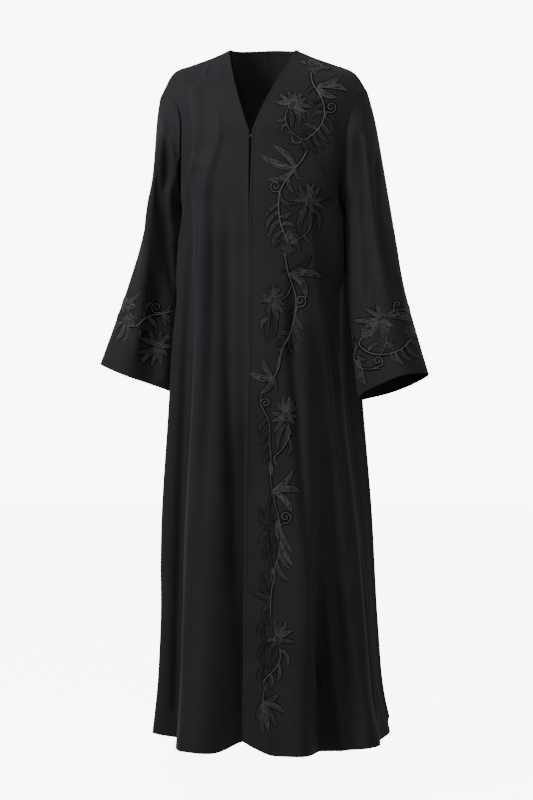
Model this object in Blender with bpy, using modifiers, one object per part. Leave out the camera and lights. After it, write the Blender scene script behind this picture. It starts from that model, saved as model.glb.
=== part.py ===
"""Open-front abaya cloak, held in its worn shape: two fronts, two backs and two wide sleeves.

Metres, +Z up. The front faces -Y and the wearer's left is +X. The origin lies midway between
the two points where the shoulder seams meet the neckline.
"""

import math
from collections import namedtuple

import bmesh
import bpy
import numpy as np
from mathutils import Matrix

# Driving sizes
CLOTH_WALL = 0.0015
SEAM_GAP = 0.0003
SPLIT_GAP = 0.0005
UNDERARM_WIDENING = 11.0
FRONT_GAP_TOP = 0.0046
FRONT_GAP_BELOW = 0.0014
FRONT_GAP_LENGTH = 0.24
HOOK_SIZE = (0.012, 0.0012, 0.0045)
HOOK_CLEARANCE = 0.0005
HOOK_DROPS = {"hook_upper": 0.010, "hook_lower": 0.148}
HEM_Z = -1.440
NECK_HALF_WIDTH = 0.0695
NECK_BACK_Y = 0.058
NECK_BACK_Z = 0.008
V_BOTTOM_Y = -0.131
V_BOTTOM_Z = -0.193
HEM_FRONT_LIFT = 0.022
HEM_FRONT_LIFT_ANGLE = 16.0
CLOTH_COLOUR = (0.022, 0.022, 0.025, 1.0)
HOOK_COLOUR = (0.03, 0.03, 0.03, 1.0)

# Mesh counts: columns run from the centre to the side, rows from the shoulder to the hem
PANEL_COLUMNS = 20
YOKE_ROWS = 12
SKIRT_ROWS = 13
SLEEVE_COLUMNS = 24
SLEEVE_ROWS = 13

# How far down a panel, as a share of its rows, the armhole and the V neckline reach
YOKE_SHARE = YOKE_ROWS / (YOKE_ROWS + SKIRT_ROWS)
NECK_SHARE = 0.60
BACK_NECK_SHARE = 0.36

# The shoulder seam from the neck towards the dropped sleeve's top, which ends it. It sits a little
# lower on the left.
ShoulderPoint = namedtuple("ShoulderPoint", "share x y right_z left_z")
SHOULDER = (
    ShoulderPoint(0.00, NECK_HALF_WIDTH, 0.000, 0.001, -0.004),
    ShoulderPoint(0.25, 0.110, 0.000, -0.015, -0.023),
    ShoulderPoint(0.50, 0.152, 0.001, -0.028, -0.039),
    ShoulderPoint(0.75, 0.194, 0.001, -0.044, -0.058),
)

# Level sections of the body below the underarm, before its folds
BodySection = namedtuple("BodySection", "name z right left front back")
BODY = (
    BodySection("underarm", -0.330, 0.166, 0.168, -0.143, 0.118),
    BodySection("waist", -0.480, 0.166, 0.172, -0.147, 0.122),
    BodySection("hip", -0.740, 0.175, 0.178, -0.160, 0.140),
    BodySection("knee", -1.000, 0.196, 0.198, -0.178, 0.168),
    BodySection("calf", -1.220, 0.205, 0.208, -0.192, 0.192),
    BodySection("shin", -1.360, 0.214, 0.216, -0.200, 0.208),
    BodySection("hem", HEM_Z, 0.223, 0.230, -0.207, 0.216),
)
BODY_SQUARENESS = 2.5
# Scales growth^1.5 * (1 - growth)^3 to a peak of 1
ARM_SWELL = 17.54

# Crests (+) and troughs (-) round the body. Angles run from the front opening at 0, through the
# wearer's left side at 90, to the centre back at 180. arm_out is reached beside the forearms and
# hem_out at the hem.
Fold = namedtuple("Fold", "name top_angle hem_angle start_z arm_out hem_out lean power")
FOLDS = (
    Fold("centre back", -180, -180, -0.20, -0.004, -0.012, 0.0, 1.0),
    Fold("back right crest", -160, -161, -0.25, 0.004, 0.026, 0.0, 1.2),
    Fold("back right trough", -143, -144, -0.25, -0.006, -0.026, 0.0, 1.0),
    Fold("back side crest", -116, -122, -0.34, 0.016, 0.024, 0.0, 1.1),
    Fold("right side seam", -92, -96, -0.34, -0.006, -0.010, 0.0, 1.0),
    Fold("right side crest", -66, -82, -0.34, 0.014, 0.010, 0.0, 1.0),
    Fold("right trough", -50, -54, -0.20, -0.004, -0.105, -0.052, 1.5),
    Fold("right pleat crest", -33, -29, -0.12, 0.008, 0.016, -0.004, 0.7),
    Fold("right front crest", -23, -17, -0.45, 0.0, 0.022, 0.0, 1.2),
    Fold("right opening trough", -13, -4, -0.25, 0.0, -0.020, 0.0, 1.0),
    Fold("opening", 0, 0, -0.45, 0.0, -0.030, 0.0, 1.5),
    Fold("left front rise", 12, 14, -0.50, 0.0, 0.002, 0.0, 1.0),
    Fold("left front crest", 42, 26, -0.12, 0.010, 0.020, 0.008, 0.9),
    Fold("left trough", 62, 44, -0.20, -0.014, -0.074, 0.010, 1.2),
    Fold("left pleat crest", 73, 64, -0.45, -0.004, 0.044, 0.0, 1.2),
    Fold("left notch", 86, 80, -0.40, -0.006, 0.024, 0.0, 1.6),
    Fold("left side crest", 110, 101, -0.34, 0.018, 0.036, 0.0, 1.6),
    Fold("left back trough", 126, 119, -0.30, -0.006, -0.024, 0.0, 1.0),
    Fold("left back crest", 141, 139, -0.25, 0.004, 0.026, 0.0, 1.2),
    Fold("left inner trough", 157, 157, -0.25, -0.004, -0.022, 0.0, 1.0),
    Fold("left inner crest", 169, 169, -0.25, 0.0, 0.006, 0.0, 1.0),
)

# Rings of a sleeve from the armhole to the cuff. The outer point carries on from the shoulder and
# the inner one from the underarm, and front_x and front_z tip the ring's front edge.
SleeveRing = namedtuple(
    "SleeveRing",
    "name share outer_x outer_z inner_x inner_z mid_y front back front_x front_z back_z",
)
SLEEVES = {
    "right": (
        SleeveRing("armhole", 0.00, 0.2245, -0.095, 0.168, -0.332, 0.004, 0.076, 0.072, -0.044, 0.010, 0.0),
        SleeveRing("cap", 0.12, 0.232, -0.150, 0.177, -0.348, 0.004, 0.078, 0.074, -0.018, 0.004, 0.0),
        SleeveRing("upper arm", 0.30, 0.2375, -0.270, 0.175, -0.405, 0.006, 0.070, 0.068, 0.000, 0.000, 0.0),
        SleeveRing("elbow", 0.52, 0.262, -0.400, 0.174, -0.490, 0.006, 0.062, 0.062, 0.000, 0.004, -0.004),
        SleeveRing("forearm", 0.70, 0.292, -0.500, 0.176, -0.575, 0.002, 0.060, 0.060, 0.000, 0.004, -0.004),
        SleeveRing("wrist", 0.87, 0.326, -0.600, 0.182, -0.660, -0.006, 0.060, 0.060, 0.000, 0.004, -0.004),
        SleeveRing("cuff", 1.00, 0.3475, -0.662, 0.188, -0.722, -0.012, 0.062, 0.062, 0.000, 0.001, -0.005),
    ),
    "left": (
        SleeveRing("armhole", 0.00, 0.2215, -0.099, 0.168, -0.332, 0.004, 0.076, 0.072, -0.012, 0.010, 0.0),
        SleeveRing("cap", 0.12, 0.236, -0.155, 0.177, -0.348, 0.000, 0.080, 0.074, -0.002, 0.006, 0.0),
        SleeveRing("upper arm", 0.30, 0.258, -0.275, 0.178, -0.405, -0.008, 0.076, 0.070, 0.000, 0.002, 0.0),
        SleeveRing("elbow", 0.52, 0.281, -0.405, 0.182, -0.490, -0.020, 0.070, 0.066, 0.000, 0.006, -0.004),
        SleeveRing("forearm", 0.70, 0.300, -0.508, 0.189, -0.575, -0.034, 0.066, 0.064, 0.000, 0.009, -0.004),
        SleeveRing("wrist", 0.87, 0.328, -0.608, 0.199, -0.665, -0.048, 0.064, 0.062, 0.000, 0.012, -0.003),
        SleeveRing("cuff", 1.00, 0.352, -0.687, 0.209, -0.738, -0.056, 0.064, 0.062, 0.000, 0.014, -0.0065),
    ),
}
# How much thinner a sleeve is towards its inner edge
SLEEVE_TAPER = 0.30

# Long folds of a sleeve: angle 0 is the outer edge, 90 the front, 180 the inner edge
SleeveFold = namedtuple("SleeveFold", "name top_angle cuff_angle top_out cuff_out")
SLEEVE_FOLDS = {
    "right": (
        SleeveFold("outer edge", 0, 0, 0.000, 0.002),
        SleeveFold("outer trough", 26, 48, -0.004, -0.003),
        SleeveFold("front crest", 50, 86, 0.004, 0.007),
        SleeveFold("front trough", 92, 120, -0.009, -0.006),
        SleeveFold("inner crest", 132, 146, 0.004, 0.003),
        SleeveFold("inner edge", 180, 180, 0.000, 0.000),
        SleeveFold("back trough", 235, 225, -0.008, -0.004),
        SleeveFold("back crest", 280, 272, 0.004, 0.006),
        SleeveFold("back outer trough", 325, 318, -0.003, -0.003),
    ),
    "left": (
        SleeveFold("outer edge", 0, 0, 0.000, 0.002),
        SleeveFold("outer trough", 30, 36, -0.004, -0.002),
        SleeveFold("front crest", 56, 70, 0.004, 0.003),
        SleeveFold("front trough", 94, 104, -0.007, -0.003),
        SleeveFold("inner crest", 136, 140, 0.004, 0.003),
        SleeveFold("inner edge", 180, 180, 0.000, 0.000),
        SleeveFold("back trough", 232, 225, -0.007, -0.004),
        SleeveFold("back crest", 278, 270, 0.004, 0.006),
        SleeveFold("back outer trough", 325, 318, -0.003, -0.003),
    ),
}


def smoothstep(x):
    """0 below 0, 1 above 1, and a smooth rise between."""
    x = np.clip(x, 0.0, 1.0)
    return x * x * (3.0 - 2.0 * x)


def through(rows, key, column, at):
    """A smooth curve through one column of a table, read at the given values of its key column."""
    xs = np.array([getattr(row, key) for row in rows], float)
    ys = np.array([getattr(row, column) for row in rows], float)
    if xs[0] > xs[-1]:
        xs, ys = xs[::-1], ys[::-1]
    slope = np.gradient(ys, xs)
    at = np.clip(at, xs[0], xs[-1])
    i = np.clip(np.searchsorted(xs, at, side="right") - 1, 0, len(xs) - 2)
    step = xs[i + 1] - xs[i]
    t = (at - xs[i]) / step
    return (
        (1 + 2 * t) * (1 - t) ** 2 * ys[i]
        + t * (1 - t) ** 2 * step * slope[i]
        + t * t * (3 - 2 * t) * ys[i + 1]
        + t * t * (t - 1) * step * slope[i + 1]
    )


def between_crests(angle, knots, heights):
    """The offset at an angle, eased from each crest or trough to the next, right round the ring."""
    knots = np.concatenate([knots[:, -1:] - 360.0, knots, knots[:, :1] + 360.0], axis=1)
    heights = np.concatenate([heights[:, -1:], heights, heights[:, :1]], axis=1)
    i = np.clip((knots <= angle[:, None]).sum(axis=1) - 1, 0, knots.shape[1] - 2)
    row = np.arange(len(angle))
    share = smoothstep((angle - knots[row, i]) / (knots[row, i + 1] - knots[row, i]))
    return heights[row, i] + (heights[row, i + 1] - heights[row, i]) * share


def body_folds(angle, z, column):
    """How far the body's folds move the cloth: hem_out along its normal, lean along its girth."""
    down = np.clip(z / HEM_Z, 0.0, 1.0)[:, None]
    top, hem, start, most, power = (
        np.array([getattr(fold, name) for fold in FOLDS], float)
        for name in ("top_angle", "hem_angle", "start_z", column, "power")
    )
    growth = np.clip((start - z[:, None]) / (start - HEM_Z), 0.0, 1.0)
    height = most * growth**power
    if column == "hem_out":
        arm = np.array([fold.arm_out for fold in FOLDS], float)
        height += arm * ARM_SWELL * growth**1.5 * (1 - growth) ** 3
    return between_crests(angle, top + (hem - top) * down, height)


def sleeve_point(side, angle, share):
    """Points of a sleeve's outer face. angle is in degrees and share runs from armhole to cuff."""
    rings, folds = SLEEVES[side], SLEEVE_FOLDS[side]
    read = {name: through(rings, "share", name, share) for name in SleeveRing._fields[2:]}
    turn = np.radians(angle)
    cos, sin = np.cos(turn), np.sin(turn)
    top, cuff, top_out, cuff_out = (
        np.array([getattr(fold, name) for fold in folds], float) for name in SleeveFold._fields[1:]
    )
    along = share[:, None]
    swell = smoothstep(share / 0.15) * between_crests(
        angle % 360.0, top + (cuff - top) * along, top_out + (cuff_out - top_out) * along
    )
    half = np.stack(
        [(read["outer_x"] - read["inner_x"]) / 2, 0 * share, (read["outer_z"] - read["inner_z"]) / 2], 1
    )
    reach = np.linalg.norm(half, axis=1)
    depth = np.where(sin > 0, read["front"], read["back"])
    forward = np.where(sin > 0, 1.0, -1.0)
    # The pull of front_x is strongest high up the front and fades out under the arm
    pull = 0.77 * (1 + cos) * read["front_x"]
    tip_x = np.where(sin > 0, pull, 0.4 * pull)
    tip_z = np.where(sin > 0, read["front_z"], read["back_z"])
    taper = 1 + SLEEVE_TAPER * cos * smoothstep(share / 0.3)
    edge = np.stack([tip_x, -forward * depth * taper, tip_z], 1)
    centre = np.stack(
        [
            (read["outer_x"] + read["inner_x"]) / 2,
            read["mid_y"],
            (read["outer_z"] + read["inner_z"]) / 2,
        ],
        1,
    )
    grow_half = 1 + swell / reach
    grow_edge = 1 + swell / depth
    point = centre + half * (cos * grow_half)[:, None] + edge * (np.abs(sin) * grow_edge)[:, None]
    point[:, 0] *= 1 if side == "left" else -1
    return point


def unmirrored(side, points):
    """Points with +X to the wearer's outer side, on either side."""
    return points * np.array([1.0 if side == "left" else -1.0, 1.0, 1.0])


def armhole_edge(side, face, share):
    """The armhole from the shoulder at 0 to the underarm at 1, with +X outwards."""
    turn = 180.0 if face == "front" else -180.0
    return unmirrored(side, sleeve_point(side, turn * share, 0 * share))


def centre_edge(side, face, yoke):
    """The front's neckline and opening, or the back's centre seam, down to the underarm's level."""
    base_z = BODY[0].z
    if face == "back":
        z = NECK_BACK_Z + (base_z - NECK_BACK_Z) * yoke
        y = NECK_BACK_Y + (BODY[0].back - NECK_BACK_Y) * np.sin(np.clip(yoke * 1.5, 0, 1) * math.pi / 2)
        return np.stack([0 * yoke, y, z], 1)
    neck = np.clip(yoke / NECK_SHARE, 0.0, 1.0)
    below = np.clip((yoke - NECK_SHARE) / (1 - NECK_SHARE), 0.0, 1.0)
    x = NECK_HALF_WIDTH * (1 - neck)
    y = V_BOTTOM_Y * (1 - (1 - neck) ** 1.8) + (BODY[0].front - V_BOTTOM_Y) * smoothstep(below)
    top_z = shoulder_edge(side, 0 * yoke)[:, 2]
    z = top_z + (V_BOTTOM_Z - top_z) * neck + (base_z - V_BOTTOM_Z) * below
    return np.stack([x, y, z], 1)


def shoulder_edge(side, share):
    """The shoulder seam from the neck at 0 to the sleeve at 1, with +X outwards."""
    top = SLEEVES[side][0]
    rows = SHOULDER + (ShoulderPoint(1.0, top.outer_x, top.mid_y, top.outer_z, top.outer_z),)
    return np.stack([through(rows, "share", name, share) for name in ("x", "y", side + "_z")], 1)


def top_edge(side, face, u):
    """A panel's top edge: the shoulder seam, and on the back the neckline before it."""
    if face == "front":
        return shoulder_edge(side, u)
    neck_z = shoulder_edge(side, 0 * u)[:, 2]
    neck = np.clip(u / BACK_NECK_SHARE, 0.0, 1.0) * math.pi / 2
    curve = np.stack(
        [
            NECK_HALF_WIDTH * np.sin(neck),
            NECK_BACK_Y * np.cos(neck),
            neck_z + (NECK_BACK_Z - neck_z) * np.cos(neck) ** 2,
        ],
        1,
    )
    seam = shoulder_edge(side, np.clip((u - BACK_NECK_SHARE) / (1 - BACK_NECK_SHARE), 0.0, 1.0))
    return np.where((u < BACK_NECK_SHARE)[:, None], curve, seam)


def quarter_turn(u):
    """Sine and cosine of a quarter turn at u, squared off towards a body's wide, flat section."""
    turn = np.clip(u, -0.02, 1.02) * math.pi / 2
    sine, cosine = np.sin(turn), np.cos(turn)
    power = 2 / BODY_SQUARENESS
    radius = (np.abs(sine) ** BODY_SQUARENESS + np.abs(cosine) ** BODY_SQUARENESS) ** (-power / 2)
    return sine * radius, cosine * radius


def plain_yoke(side, face, u, yoke):
    """The yoke's level curves from the centre edge to the armhole, before the top edge is met."""
    inner, outer = centre_edge(side, face, yoke), armhole_edge(side, face, yoke)
    round_off = smoothstep((yoke - 0.45) / 0.55)
    sine, cosine = quarter_turn(u)
    across = u + (sine - u) * round_off
    arch = 1 - np.abs(u) ** 2.4
    forward = arch + (cosine - arch) * round_off
    x = inner[:, 0] + (outer[:, 0] - inner[:, 0]) * across
    y = outer[:, 1] + (inner[:, 1] - outer[:, 1]) * forward
    z = inner[:, 2] + (outer[:, 2] - inner[:, 2]) * np.abs(u) ** 1.5
    return np.stack([x, y, z], 1)


def plain_panel(side, face, u, v):
    """A body panel before its folds, with +X outwards. u runs out and v runs down."""
    yoke = np.clip(v / YOKE_SHARE, 0.0, 1.0)
    skirt = np.clip((v - YOKE_SHARE) / (1 - YOKE_SHARE), 0.0, None)
    fade = (1 - np.clip(yoke / 0.8, 0.0, 1.0)) ** 2
    upper = plain_yoke(side, face, u, yoke)
    upper += (top_edge(side, face, u) - plain_yoke(side, face, u, 0 * yoke)) * fade[:, None]
    z = BODY[0].z + (HEM_Z - BODY[0].z) * skirt
    depth = through(BODY, "z", "front" if face == "front" else "back", z)
    underarm = armhole_edge(side, face, 1 + 0 * u)
    side_y = underarm[:, 1] * (1 - smoothstep(skirt * 3))
    wide = through(BODY, "z", side, z)
    wide += (underarm[:, 0] - through(BODY, "z", side, BODY[0].z + 0 * z)) * (1 - smoothstep(skirt * 5))
    sine, cosine = quarter_turn(u)
    lower = np.stack([wide * sine, side_y + (depth - side_y) * cosine, z], 1)
    lower[:, 2] += (underarm[:, 2] - BODY[0].z) * np.abs(u) ** 1.5 * (1 - smoothstep(skirt * 4))
    return np.where((v < YOKE_SHARE)[:, None], upper, lower)


def surface_normal(surface, u, v, step=0.004):
    """Unit normals of a surface of u and v, towards the cross product of its two directions."""
    across = surface(u + step, v) - surface(u - step, v)
    down = surface(u, v + step) - surface(u, v - step)
    normal = np.cross(across, down)
    return normal / np.maximum(np.linalg.norm(normal, axis=1), 1e-12)[:, None]


def signed_angle(side, face, u):
    """Where a column of a panel lies round the body, in degrees."""
    angle = 90.0 * u if face == "front" else 180.0 - 90.0 * u
    return angle if side == "left" else -angle


def panel_point(side, face, u, v):
    """Points of a body panel's outer face, with its folds."""
    flat = plain_panel(side, face, u, v)
    normal = surface_normal(lambda a, b: plain_panel(side, face, a, b), u, np.clip(v, 0.004, 0.996))
    outward = -normal if face == "front" else normal
    angle = signed_angle(side, face, u)
    z = flat[:, 2]
    near_sleeve = 1 - smoothstep((u - 0.80) / 0.2) * (1 - smoothstep((v - YOKE_SHARE) / 0.06))
    swell = body_folds(angle, z, "hem_out") * near_sleeve
    lean = body_folds(angle, z, "lean") * (1 if side == "left" else -1)
    along = np.stack([-outward[:, 1], outward[:, 0], 0 * u], 1)
    lift = HEM_FRONT_LIFT * (1 - smoothstep(np.abs(angle) / HEM_FRONT_LIFT_ANGLE))
    point = flat + outward * swell[:, None] + along * lean[:, None]
    point[:, 2] += lift * smoothstep((z - 0.6 * HEM_Z) / (0.4 * HEM_Z))
    if side == "right":
        point[:, 0] *= -1
    return point


def armhole_frame(side, face, share):
    """Round the armhole seam, with +X outwards: the shared outward normal, and the way across it.

    The normal leans out over the shoulder, faces forwards or back beside the arm, and points down
    under it, where the sleeve hangs close to the body.
    """
    turn = share * math.pi
    forward = -1.0 if face == "front" else 1.0
    normal = np.stack(
        [0.12 + 0.25 * (1 + np.cos(turn)), forward * np.sin(turn), np.cos(turn)], 1
    )
    normal /= np.linalg.norm(normal, axis=1)[:, None]
    step = 0.01
    run = armhole_edge(side, face, share + step) - armhole_edge(side, face, share - step)
    across = np.cross(run, normal) * forward
    return normal, across / np.linalg.norm(across, axis=1)[:, None]


def shoulder_normal(side, share):
    """The shared direction of the wall's thickness along the shoulder seam, with +X outwards."""
    step = 0.02
    run = shoulder_edge(side, share + step) - shoulder_edge(side, share - step)
    out = np.stack([-run[:, 2], 0 * share, run[:, 0]], 1)
    return out / np.linalg.norm(out, axis=1)[:, None]


def panel_normal(side, face, u, v):
    """Outward normals of a panel, eased into the shared ones of its shoulder and armhole seams."""
    mirror = np.array([1.0 if side == "left" else -1.0, 1.0, 1.0])
    inside = np.clip(u, 0.01, 0.99), np.clip(v, 0.01, 0.99)
    normal = surface_normal(lambda a, b: panel_point(side, face, a, b), u, inside[1])
    flip = (face == "front") == (side == "left")
    normal = -normal if flip else normal
    yoke = np.clip(v / YOKE_SHARE, 0.0, 1.0)
    hole = armhole_frame(side, face, yoke)[0] * mirror
    by_hole = (smoothstep((u - 0.95) / 0.05) * (v <= YOKE_SHARE + 1e-6))[:, None]
    share = u if face == "front" else (u - BACK_NECK_SHARE) / (1 - BACK_NECK_SHARE)
    top = shoulder_normal(side, np.clip(share, 0.0, 1.0)) * mirror
    by_top = ((1 - smoothstep(v / 0.06)) * (share >= -1e-6))[:, None]
    normal = normal * (1 - by_top) + top * by_top
    normal = normal * (1 - by_hole) + hole * by_hole
    return normal / np.linalg.norm(normal, axis=1)[:, None]


def inset(surface, u, v, low_u, high_u, low_v, high_v):
    """u and v moved in from a piece's edges, so that neighbours stand a seam's gap apart.

    Each margin is a length in metres. The surface's own stretch turns it into u and v.
    """
    step = 0.01
    wide = np.linalg.norm(surface(u + step, v) - surface(u - step, v), axis=1) / (2 * step)
    tall = np.linalg.norm(surface(u, v + step) - surface(u, v - step), axis=1) / (2 * step)
    wide, tall = np.maximum(wide, 0.02), np.maximum(tall, 0.02)
    new_u = u + low_u / wide * (1 - u) ** 8 - high_u / wide * u**8
    new_v = v + low_v / tall * (1 - v) ** 8 - high_v / tall * v**8
    return new_u, new_v


def cloth_material(name, colour, roughness, metallic=0.0):
    """A plain Principled material with one colour."""
    material = bpy.data.materials.new(name)
    material.use_nodes = True
    shader = material.node_tree.nodes["Principled BSDF"]
    shader.inputs["Base Color"].default_value = colour
    shader.inputs["Roughness"].default_value = roughness
    shader.inputs["Metallic"].default_value = metallic
    return material


def add_wall(name, collection, columns, rows, place, tube=False):
    """A cloth wall: a grid is laid on place(u, v), then given its thickness along its normals.

    place returns the outer points and the outward normals of arrays of u and v.
    """
    bm = bmesh.new()
    bmesh.ops.create_grid(bm, x_segments=columns, y_segments=rows, size=0.5)
    mark = bm.verts.layers.int.new("grid_point")
    bm.verts.ensure_lookup_table()
    u = np.array([vert.co.x + 0.5 for vert in bm.verts])
    v = np.array([vert.co.y + 0.5 for vert in bm.verts])
    outer, normal = place(u, v)
    inner = outer - normal * CLOTH_WALL
    for index, vert in enumerate(bm.verts):
        vert[mark] = index
        vert.co = outer[index]
    if tube:
        bmesh.ops.remove_doubles(bm, verts=bm.verts, dist=1e-6)
    grown = bmesh.ops.extrude_face_region(bm, geom=list(bm.faces), use_keep_orig=True)
    for item in grown["geom"]:
        if isinstance(item, bmesh.types.BMVert):
            item.co = inner[item[mark]]
    bmesh.ops.recalc_face_normals(bm, faces=bm.faces)
    bm.verts.layers.int.remove(mark)
    mesh = bpy.data.meshes.new(name)
    bm.to_mesh(mesh)
    bm.free()
    obj = bpy.data.objects.new(name, mesh)
    collection.objects.link(obj)
    mesh.shade_smooth()
    return obj


def unit(vectors):
    """Vectors scaled to a length of 1."""
    return vectors / np.linalg.norm(vectors, axis=1)[:, None]


def front_gap(z):
    """The width of the gap between the fronts, widest under the V of the neckline."""
    closing = smoothstep((V_BOTTOM_Z - z) / FRONT_GAP_LENGTH)
    return FRONT_GAP_TOP + (FRONT_GAP_BELOW - FRONT_GAP_TOP) * closing


def add_panel(name, side, face, first_row, last_row, collection):
    """A front or a back of the body, or the rows of it from first_row to last_row."""
    all_rows = YOKE_ROWS + SKIRT_ROWS

    def surface(a, b):
        return panel_point(side, face, a, b)

    def place(u, part_v):
        v = (first_row + part_v * (last_row - first_row)) / all_rows
        centre_gap = front_gap(surface(u, v)[:, 2]) if face == "front" else SEAM_GAP
        by_hole = u**8 * (v <= YOKE_SHARE + 1e-6)
        side_gap = SEAM_GAP * (v > YOKE_SHARE - 1e-6)
        new_u, new_v = inset(surface, u, v, centre_gap / 2, side_gap / 2, SEAM_GAP / 2, 0.0)
        across = armhole_frame(side, face, np.clip(v / YOKE_SHARE, 0.0, 1.0))[1]
        shift = across * (by_hole * SEAM_GAP / 2)[:, None]
        point = surface(new_u, new_v) - unmirrored(side, shift)
        normal = panel_normal(side, face, u, v)
        step = 1 / PANEL_COLUMNS
        along = surface(np.minimum(u + step, 1.0), v) - surface(np.maximum(u - step, 0.0), v)
        down = unit(np.cross(normal, along))
        down *= np.where(down[:, 2] > 0, -1.0, 1.0)[:, None]
        is_top, is_bottom = (part_v < 1e-6) * (first_row > 0), (part_v > 1 - 1e-6) * (last_row < all_rows)
        part_way = SPLIT_GAP / 2 * (is_top * (1 + UNDERARM_WIDENING * u**30) - is_bottom * 1.0)
        return point + down * part_way[:, None], normal

    panel = add_wall(name, collection, PANEL_COLUMNS, last_row - first_row, place)
    panel.data.materials.append(cloth_material(f"{name}_crepe", CLOTH_COLOUR, 0.55))
    return panel


def add_sleeve(side, collection):
    """A wide sleeve, as a tube from the armhole to the cuff."""

    def surface(a, b):
        return sleeve_point(side, a * 360.0, b)

    def place(u, v):
        normal = surface_normal(surface, u, np.clip(v, 0.01, 0.99))
        outward = normal if side == "left" else -normal
        share = np.where(u <= 0.5, u * 2, (1 - u) * 2)
        front = armhole_frame(side, "front", share)
        back = armhole_frame(side, "back", share)
        in_front = (u <= 0.5)[:, None]
        hole, across = (unmirrored(side, np.where(in_front, front[i], back[i])) for i in (0, 1))
        by_hole = (1 - smoothstep(v / 0.05))[:, None]
        outward = outward * (1 - by_hole) + hole * by_hole
        point = surface(u, v) + across * by_hole * SEAM_GAP / 2
        return point, outward / np.linalg.norm(outward, axis=1)[:, None]

    sleeve = add_wall(f"sleeve_{side}", collection, SLEEVE_COLUMNS, SLEEVE_ROWS, place, tube=True)
    sleeve.data.materials.append(cloth_material(f"sleeve_{side}_crepe", CLOTH_COLOUR, 0.55))
    return sleeve


def add_hook(name, drop, collection):
    """A flat hook and eye that holds the fronts together from behind, below the V by drop."""
    z = V_BOTTOM_Z - drop
    levels = (HEM_Z, BODY[0].z, V_BOTTOM_Z)
    u = np.array([0.0])
    v = np.interp([z], levels, (1.0, YOKE_SHARE, YOKE_SHARE * NECK_SHARE))
    face = panel_point("left", "front", u, v)[0]
    normal = panel_normal("left", "front", u, v)[0]
    depth = CLOTH_WALL + HOOK_CLEARANCE + HOOK_SIZE[1] / 2
    bpy.ops.mesh.primitive_cube_add(size=1.0)
    hook = bpy.context.active_object
    hook.name = name
    hook.data.transform(Matrix.Diagonal((*HOOK_SIZE, 1.0)))
    hook.rotation_euler.x = math.atan2(-normal[2], -normal[1])
    hook.location = (0.0, face[1] - normal[1] * depth, face[2] - normal[2] * depth)
    bevel = hook.modifiers.new("rounded edges", "BEVEL")
    bevel.width = 0.0003
    bevel.segments = 1
    for old in list(hook.users_collection):
        old.objects.unlink(hook)
    collection.objects.link(hook)
    hook.data.materials.append(cloth_material(f"{name}_metal", HOOK_COLOUR, 0.4, 1.0))
    return hook


def main():
    for obj in list(bpy.data.objects):
        bpy.data.objects.remove(obj)
    collection = bpy.data.collections.new("abaya_cloak")
    bpy.context.scene.collection.children.link(collection)
    all_rows = YOKE_ROWS + SKIRT_ROWS
    for side in ("right", "left"):
        add_panel(f"front_{side}", side, "front", 0, all_rows, collection)
        add_panel(f"back_yoke_{side}", side, "back", 0, YOKE_ROWS, collection)
        add_panel(f"back_skirt_{side}", side, "back", YOKE_ROWS, all_rows, collection)
        add_sleeve(side, collection)
    for name, drop in HOOK_DROPS.items():
        add_hook(name, drop, collection)


main()
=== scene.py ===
"""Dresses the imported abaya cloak: crepe shells with their creases and seams, thread embroidery, a stage.

Metres, +Z up. The front faces -Y and the wearer's left is +X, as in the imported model.
"""

import math
from collections import namedtuple

import bmesh
import bpy
import numpy as np
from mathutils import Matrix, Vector
from mathutils.bvhtree import BVHTree


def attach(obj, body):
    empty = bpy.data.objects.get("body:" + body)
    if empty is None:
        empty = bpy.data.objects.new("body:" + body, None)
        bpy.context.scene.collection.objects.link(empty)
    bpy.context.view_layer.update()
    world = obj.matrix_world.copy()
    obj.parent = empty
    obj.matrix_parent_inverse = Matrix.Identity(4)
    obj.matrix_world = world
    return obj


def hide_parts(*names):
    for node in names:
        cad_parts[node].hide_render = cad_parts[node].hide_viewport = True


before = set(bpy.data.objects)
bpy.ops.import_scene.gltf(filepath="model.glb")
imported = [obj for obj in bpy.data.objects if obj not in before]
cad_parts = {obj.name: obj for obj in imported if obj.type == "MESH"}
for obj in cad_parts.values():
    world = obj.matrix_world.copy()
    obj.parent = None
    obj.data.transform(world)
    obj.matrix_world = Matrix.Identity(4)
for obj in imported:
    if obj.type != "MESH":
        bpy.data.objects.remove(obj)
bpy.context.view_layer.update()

bl_info = {
    "name": "Abaya cloak looks",
    "version": (1, 0, 0),
    "blender": (4, 5, 0),
    "location": "View3D > Sidebar > Abaya",
    "description": "Cloth shells, embroidery and a stage for a packed abaya cloak",
    "category": "Object",
}

# The photograph's camera, in pixels of its 533 x 800 frame
PHOTO_WIDTH = 533
PHOTO_HEIGHT = 800
PIXELS_PER_METRE = 476.0
CAMERA_AZIMUTH = 11.0
CAMERA_DISTANCE = 3.4
CAMERA_HEIGHT = -0.738
CAMERA_SHIFT = 0.0074

# Sizes of the cloak's form. Neighbours overlap a little at their seams, so that no light comes through.
SEAM_GAP = -0.0008
FRONT_GAP_TOP = 0.0046
FRONT_GAP_BELOW = -0.0006
FRONT_GAP_LENGTH = 0.24
HEM_Z = -1.440
NECK_HALF_WIDTH = 0.0695
NECK_BACK_Y = 0.058
NECK_BACK_Z = 0.008
V_BOTTOM_Y = -0.131
V_BOTTOM_Z = -0.193
HEM_FRONT_LIFT = 0.022
HEM_FRONT_LIFT_ANGLE = 16.0
YOKE_SHARE = 12 / 25
NECK_SHARE = 0.60
BACK_NECK_SHARE = 0.36
BODY_SQUARENESS = 2.5
# Scales growth^1.5 * (1 - growth)^3 to a peak of 1
ARM_SWELL = 17.54
SLEEVE_TAPER = 0.30
# Shares of a sleeve's length over which its taper and its folds set in
SLEEVE_TAPER_LENGTH = 0.3
SLEEVE_FOLD_LENGTH = 0.15
# How much of front_x a sleeve's front takes on, and the back's share of that
FRONT_PULL = 0.77
BACK_PULL_SHARE = 0.4
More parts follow.
